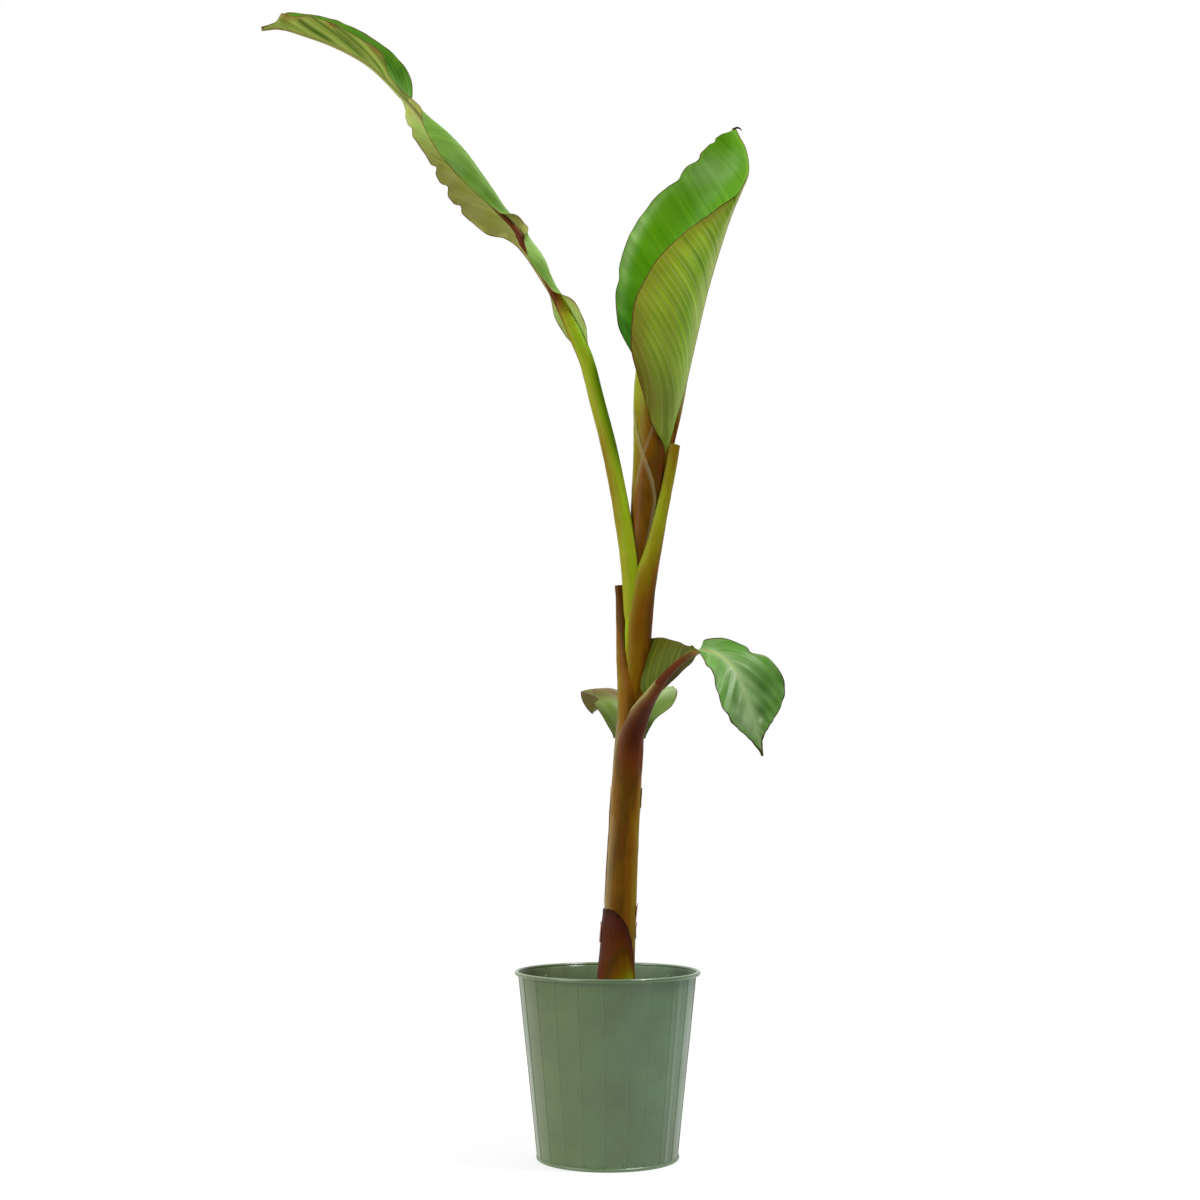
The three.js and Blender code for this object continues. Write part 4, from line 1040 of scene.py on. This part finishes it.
# On the far half the dark green stain low down at station 3.6 is painted shade deep in the scroll, and the
# thin pale fade along its margin at station 6 is a painted highlight
ROLLED_MARKS = [
    ("stain", RIGHT, 2.5, 1.0, 1.6, 0.22, 0.75), ("stain", RIGHT, 5.5, 0.95, 2.0, 0.3, 0.35),
    ("stain", RIGHT, 6.8, 0.8, 0.6, 0.4, 0.35), ("stain", RIGHT, 3.6, 0.55, 1.0, 0.12, 0.3),
    ("stain", RIGHT, 1.4, 0.65, 1.0, 0.5, 0.45),
    ("fade", RIGHT, 1.5, 0.3, 1.8, 0.5, 0.2), ("fade", RIGHT, 6.0, 0.05, 3.0, 0.2, 0.6),
    ("stain", LEFT, 3.6, 0.9, 1.4, 0.5, 0.9), ("fade", LEFT, 8.8, 0.7, 0.8, 0.3, 0.6),
    ("fade", LEFT, 6.0, 0.95, 1.4, 0.05, 0.8)]
# The upper face's stain colour is a dark green, used as painted shade
rolled_upper = leaf_face(
    "rolled_leaf_upper_face", "#4f9408", "#6eb014", "#84bc34", "#68a810", "#80b83c", "#2c7800", "#a4cc78",
    vein_gap=6.0, vein_show=0.25, bloom_show=0.1, gloss=(0.26, 0.4), margin="#5c3a18")
rolled_lower = leaf_face(
    "rolled_leaf_underside", "#4c7e08", "#8cba1c", "#c4d080", "#8a8414", "#a0b438", "#6a580c", "#c0d080",
    vein_gap=10.0, outer_show=0.45, gloss=(0.42, 0.58), margin="#5a3418", margin_width=1.8)
ROLLED_SLANTS = [24, 27, 30, 35, 40, 44, 47, 48, 48, 48, 46, 44, 44]
ROLLED_NOTCHES = [(LEFT, 8.15, 0.05, 0.25), (LEFT, 9.2, 0.07, 0.2), (LEFT, 10.2, 0.08, 0.15),
                  (LEFT, 4.9, 0.03, 0.2)]
blade, guide = leaf_skin(
    ROLLED_LEAF, ROLLED_SLANTS, side=ROLLED_SIDE, notches=ROLLED_NOTCHES, marks=ROLLED_MARKS,
    ruffles=[(LEFT, 2.6, 80, 61), (RIGHT, 1.2, 110, 62)], taper=45.0, spacing=2.4, steps=34)
# Painted highlight: from station 2 to 8 the midrib at the scroll's right edge is mixed almost fully to
# pale, for the fold's edge catching the light
rib = midrib_skin(guide, [0, 1, 2, 3, 6, 8, 12], [4.6, 4.4, 2.6, 1.1, 0.9, 0.9, 0.8],
                  [0.48, 0.4, 0.3, 0.02, 0.02, 0.02, 0.3], [0, 0, 0.4, 1.0, 1.0, 0.8, 0])
ROLLED_RIB_FOOT = [
    [64, 4, 862, 5.0, 5.0, -20, 230, 0, 0.4, 0.5, 0.5],
    [72, 2, 905, 7.5, 7.5, -10, 230, 0, 0.3, 0.48, 0.5],
    [80.5, 0, 942, 8.0, 7.5, 0, 230, 0, 0.25, 0.42, 0.5],
    [88, -1, 970, 6.0, 5.5, 0, 230, 0, 0.3, 0.4, 0.5],
    [97, 0, 1006, 3.2, 3.2, 0, 230, 0, 0.3, 0.4, 0.45]]
ROLLED_TIP = [
    [180, 0, 1424, 1.6, 1.6, -90, 300, 0, 0.9, 0.95, 0.9],
    [185, -1, 1426, 1.5, 1.5, -90, 300, 0, 0.9, 0.95, 0.9],
    [189, -1, 1425, 1.2, 1.2, -90, 300, 0, 0.9, 0.95, 0.9],
    [192, -1, 1422, 0.6, 0.6, -90, 300, 0, 0.9, 0.95, 0.9]]
rib_foot = stalk_skin(ROLLED_RIB_FOOT)
dry_tip = stalk_skin(ROLLED_TIP, spacing=1.5, steps=8)
for skin in (rib_foot, dry_tip):
    skin["slots"] = 2
rolled_leaf = make_piece("rolled_leaf", [blade, rib, rib_foot, dry_tip],
                         [rolled_upper, rolled_lower, banana_skin])
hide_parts("rolled_leaf_blade")

# The drooping leaf is short. It rises from the maroon stalk with its underside to the front, bends over
# and hangs with its upper face to the front
DROOP_LEAF = [
    ((54, -32, 607), (7, 200, 0), (76, 88, 6)), ((66, -47, 624), (11, 200, 0), (86, 96, 9)),
    ((79, -62, 639), (14, 200, 0), (68, 99, 10)), ((96, -82, 655), (15, 198, 0), (33, 96, 12)),
    ((112, -102, 665), (10, 190, -10), (10, 80, 0)), ((123, -116, 667), (15, 112, -5), (9, 0, 0)),
    ((135, -130, 664), (22, 122, -5), (16, -40, 0)), ((147, -144, 656), (31, 134, 8), (25, -30, 5)),
    ((161, -157, 640), (53, 150, 10), (32, -18, 5)), ((172, -166, 614), (64, 164, 8), (42, -4, 0)),
    ((180, -171, 590), (51, 172, 8), (47, 2, -4)), ((187, -172, 568), (26, 178, 5), (39, 4, -5)),
    ((193, -168, 545), (4, 178, 0), (15, 4, 0)), ((196, -165, 528), (2, 180, 0), (2, 0, 0))]
DROOP_BEARING = math.radians(53)
DROOP_SIDE = np.array([-math.sin(DROOP_BEARING), -math.cos(DROOP_BEARING), 0])
DROOP_MARKS = [
    ("fade", LEFT, 8.0, 0.0, 3.0, 0.25, 0.4), ("fade", RIGHT, 8.0, 0.0, 3.0, 0.35, 0.4),
    ("stain", LEFT, 9.0, 0.45, 0.5, 0.2, 0.7), ("stain", LEFT, 10.2, 0.35, 0.4, 0.25, 0.7),
    ("stain", RIGHT, 9.8, 0.4, 0.6, 0.2, 0.6), ("stain", RIGHT, 10.8, 0.6, 0.3, 0.2, 0.6),
    ("fade", LEFT, 10.8, 0.3, 0.18, 0.12, 1.0), ("fade", RIGHT, 11.0, 0.3, 0.8, 0.5, 0.5),
    ("stain", LEFT, 1.5, 0.6, 1.8, 0.7, 0.8)]
droop_upper = leaf_face(
    "drooping_leaf_upper_face", "#4b7c26", "#689846", "#93b074", "#5c9430", "#90ae74", "#2c5c14", "#a8bc90",
    vein_show=0.2, bloom_show=0.45, margin="#4a2c18", margin_width=1.8)
droop_lower = leaf_face(
    "drooping_leaf_underside", "#344604", "#5c680e", "#7e8c20", "#575216", "#666e2e", "#4a3010", "#a09a70",
    vein_show=0.32, margin="#6b3a28", gloss=(0.42, 0.55))
DROOP_SLANTS = [58, 54, 50, 44] + [38] * 10
blade, guide = leaf_skin(
    DROOP_LEAF, DROOP_SLANTS, side=DROOP_SIDE, notches=[(LEFT, 7.55, 0.2, 0.22)], marks=DROOP_MARKS,
    pleats=[(LEFT, 7.0, 13.0, 0.6, 15.0), (RIGHT, 7.0, 13.0, 0.8, 15.0)],
    ruffles=[(LEFT, 1.2, 60, 71), (RIGHT, 1.2, 52, 72)], spacing=2.2, dry_from=10.0)
rib = midrib_skin(guide, [0, 3, 5, 7, 13], [6.6, 4.6, 3.0, 2.0, 0.8], [0.66, 0.6, 0.3, 0.0, 0.1],
                  [0, 0, 0.2, 0.6, 0.4])
drooping_leaf = make_piece("drooping_leaf", [blade, rib], [droop_upper, droop_lower, banana_skin])
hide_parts("drooping_leaf_base", "drooping_leaf_blade")

# The back leaf is a small one behind the stem, on a short stalk of its own. It arches over backwards, with
# its soft halves out to both sides and the left one curled
BACK_LEAF = [
    ((31, 26, 556), (24, 166, 0), (22, 14, 0)), ((31.5, 32, 576), (36, 160, 4), (36, 26, -6)),
    ((31.5, 42, 594), (52, 146, 30), (60, 20, -14)), ((31.5, 62, 607), (76, 134, 52), (70, 26, -18)),
    ((31, 92, 611), (80, 128, 118), (67, 36, -28)), ((30, 122, 607), (50, 140, 80), (48, 34, -30)),
    ((29, 146, 588), (22, 160, 15), (22, 20, -15)), ((28, 160, 568), (3, 170, 0), (3, 10, 0))]
BACK_SIDE = np.array([1.0, 0, 0])
BACK_MARKS = [("stain", LEFT, 3.0, 0.5, 0.6, 0.8, 1.0), ("fade", RIGHT, 3.4, 0.6, 0.8, 0.4, 0.5)]
back_upper = leaf_face(
    "back_leaf_upper_face", "#5a801e", "#7e9e42", "#a0b478", "#7a9244", "#98ac78", "#75603a", "#a4b488",
    vein_gap=7.0, vein_show=0.3, bloom_show=0.4, margin="#6b4a34")
back_lower = leaf_face(
    "back_leaf_underside", "#6c7c28", "#8a9444", "#9aa05e", "#86803f", "#a0a070", "#75583a", "#9aa870",
    vein_gap=7.0, vein_show=0.35, margin="#6b4a34", gloss=(0.42, 0.55))
blade, guide = leaf_skin(
    BACK_LEAF, [40] * 8, side=BACK_SIDE, notches=[(LEFT, 2.5, 0.25, 0.25)], marks=BACK_MARKS,
    ruffles=[(LEFT, 2.0, 60, 81), (RIGHT, 2.0, 70, 82)], spacing=2.4)
rib = midrib_skin(guide, [0, 2, 4, 7], [5.0, 3.4, 2.2, 0.8], [0.5, 0.4, 0.3, 0.3], [0, 0, 0, 0])
back_leaf = make_piece("back_leaf", [blade, rib], [back_upper, back_lower, banana_skin])
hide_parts("back_leaf_blade")

for leaf in (tall_leaf, rolled_leaf, drooping_leaf, back_leaf):
    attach(leaf, "root")

# The studio: a white floor and white surroundings, a little darker on the viewer's side, a soft key light
# from high up at the right and a broad fill light from the left of the viewer.
FLOOR_HALF = 1.0
FLOOR_GLOW = 0.7
# The light of the surroundings: its level, and how it grows along each axis
SURROUND_LEVEL = 0.48
SURROUND_LEAN = (-0.2, 0.45, 0.25)
CAMERA_AT = (-0.0103, -2.35, 0.4682)
CAMERA_PITCH = 6.77
LENS = 51.39
SENSOR = 36.0
scene = bpy.context.scene
scene.view_settings.view_transform = "Standard"
floor_mesh = bpy.data.meshes.new("studio_floor")
floor_mesh.from_pydata([(-FLOOR_HALF, -FLOOR_HALF, 0), (FLOOR_HALF, -FLOOR_HALF, 0),
                        (FLOOR_HALF, FLOOR_HALF, 0), (-FLOOR_HALF, FLOOR_HALF, 0)], [], [(0, 1, 2, 3)])
pale_floor, add, shader = start_material("white_studio_floor")
add(shader, {"Base Color": 0.3, "Roughness": 0.9, "Emission Color": 1.0, "Emission Strength": FLOOR_GLOW})
floor_mesh.materials.append(pale_floor)
floor = link("studio_floor", floor_mesh)

world = bpy.data.worlds.new("white_surroundings")
world.use_nodes = True
world.node_tree.nodes.clear()
scene.world = world
add = partial(add_node, world.node_tree)
look = add("TexCoord").outputs["Generated"]
lean = add("VectorMath", {0: look, 1: SURROUND_LEAN}, operation="DOT_PRODUCT")
fill = add("Math", {0: lean, 1: SURROUND_LEVEL}, operation="ADD", use_clamp=True)
lit = add("Background", {"Color": 1.0, "Strength": fill})
seen = add("Background", {"Color": 1.0, "Strength": 1.0})
either = add("MixShader", {0: add("LightPath").outputs["Is Camera Ray"], 1: lit, 2: seen})
add("OutputWorld", {"Surface": either})

for name, at, aim, energy, size in (
        ("key_light", (1.64, -0.6, 3.4), (0.03, -0.1, 0.2), 85.0, 0.8),
        ("fill_light", (-2.3, -1.5, 1.9), (-0.05, 0.0, 1.0), 52.0, 1.8)):
    light_data = bpy.data.lights.new(name, "AREA")
    light_data.energy = energy
    light_data.shape = "DISK"
    light_data.size = size
    light = link(name, light_data)
    toward = unit(np.array(aim) - np.array(at))
    light.location = at
    light.rotation_euler = (math.acos(-toward[2]), 0, math.atan2(toward[1], toward[0]) - math.pi / 2)

camera_data = bpy.data.cameras.new("camera")
camera_data.sensor_width = SENSOR
camera_data.sensor_fit = "HORIZONTAL"
camera_data.lens = LENS
camera = link("camera", camera_data)
camera.location = CAMERA_AT
camera.rotation_euler = (math.radians(90 + CAMERA_PITCH), 0, 0)
scene.camera = camera
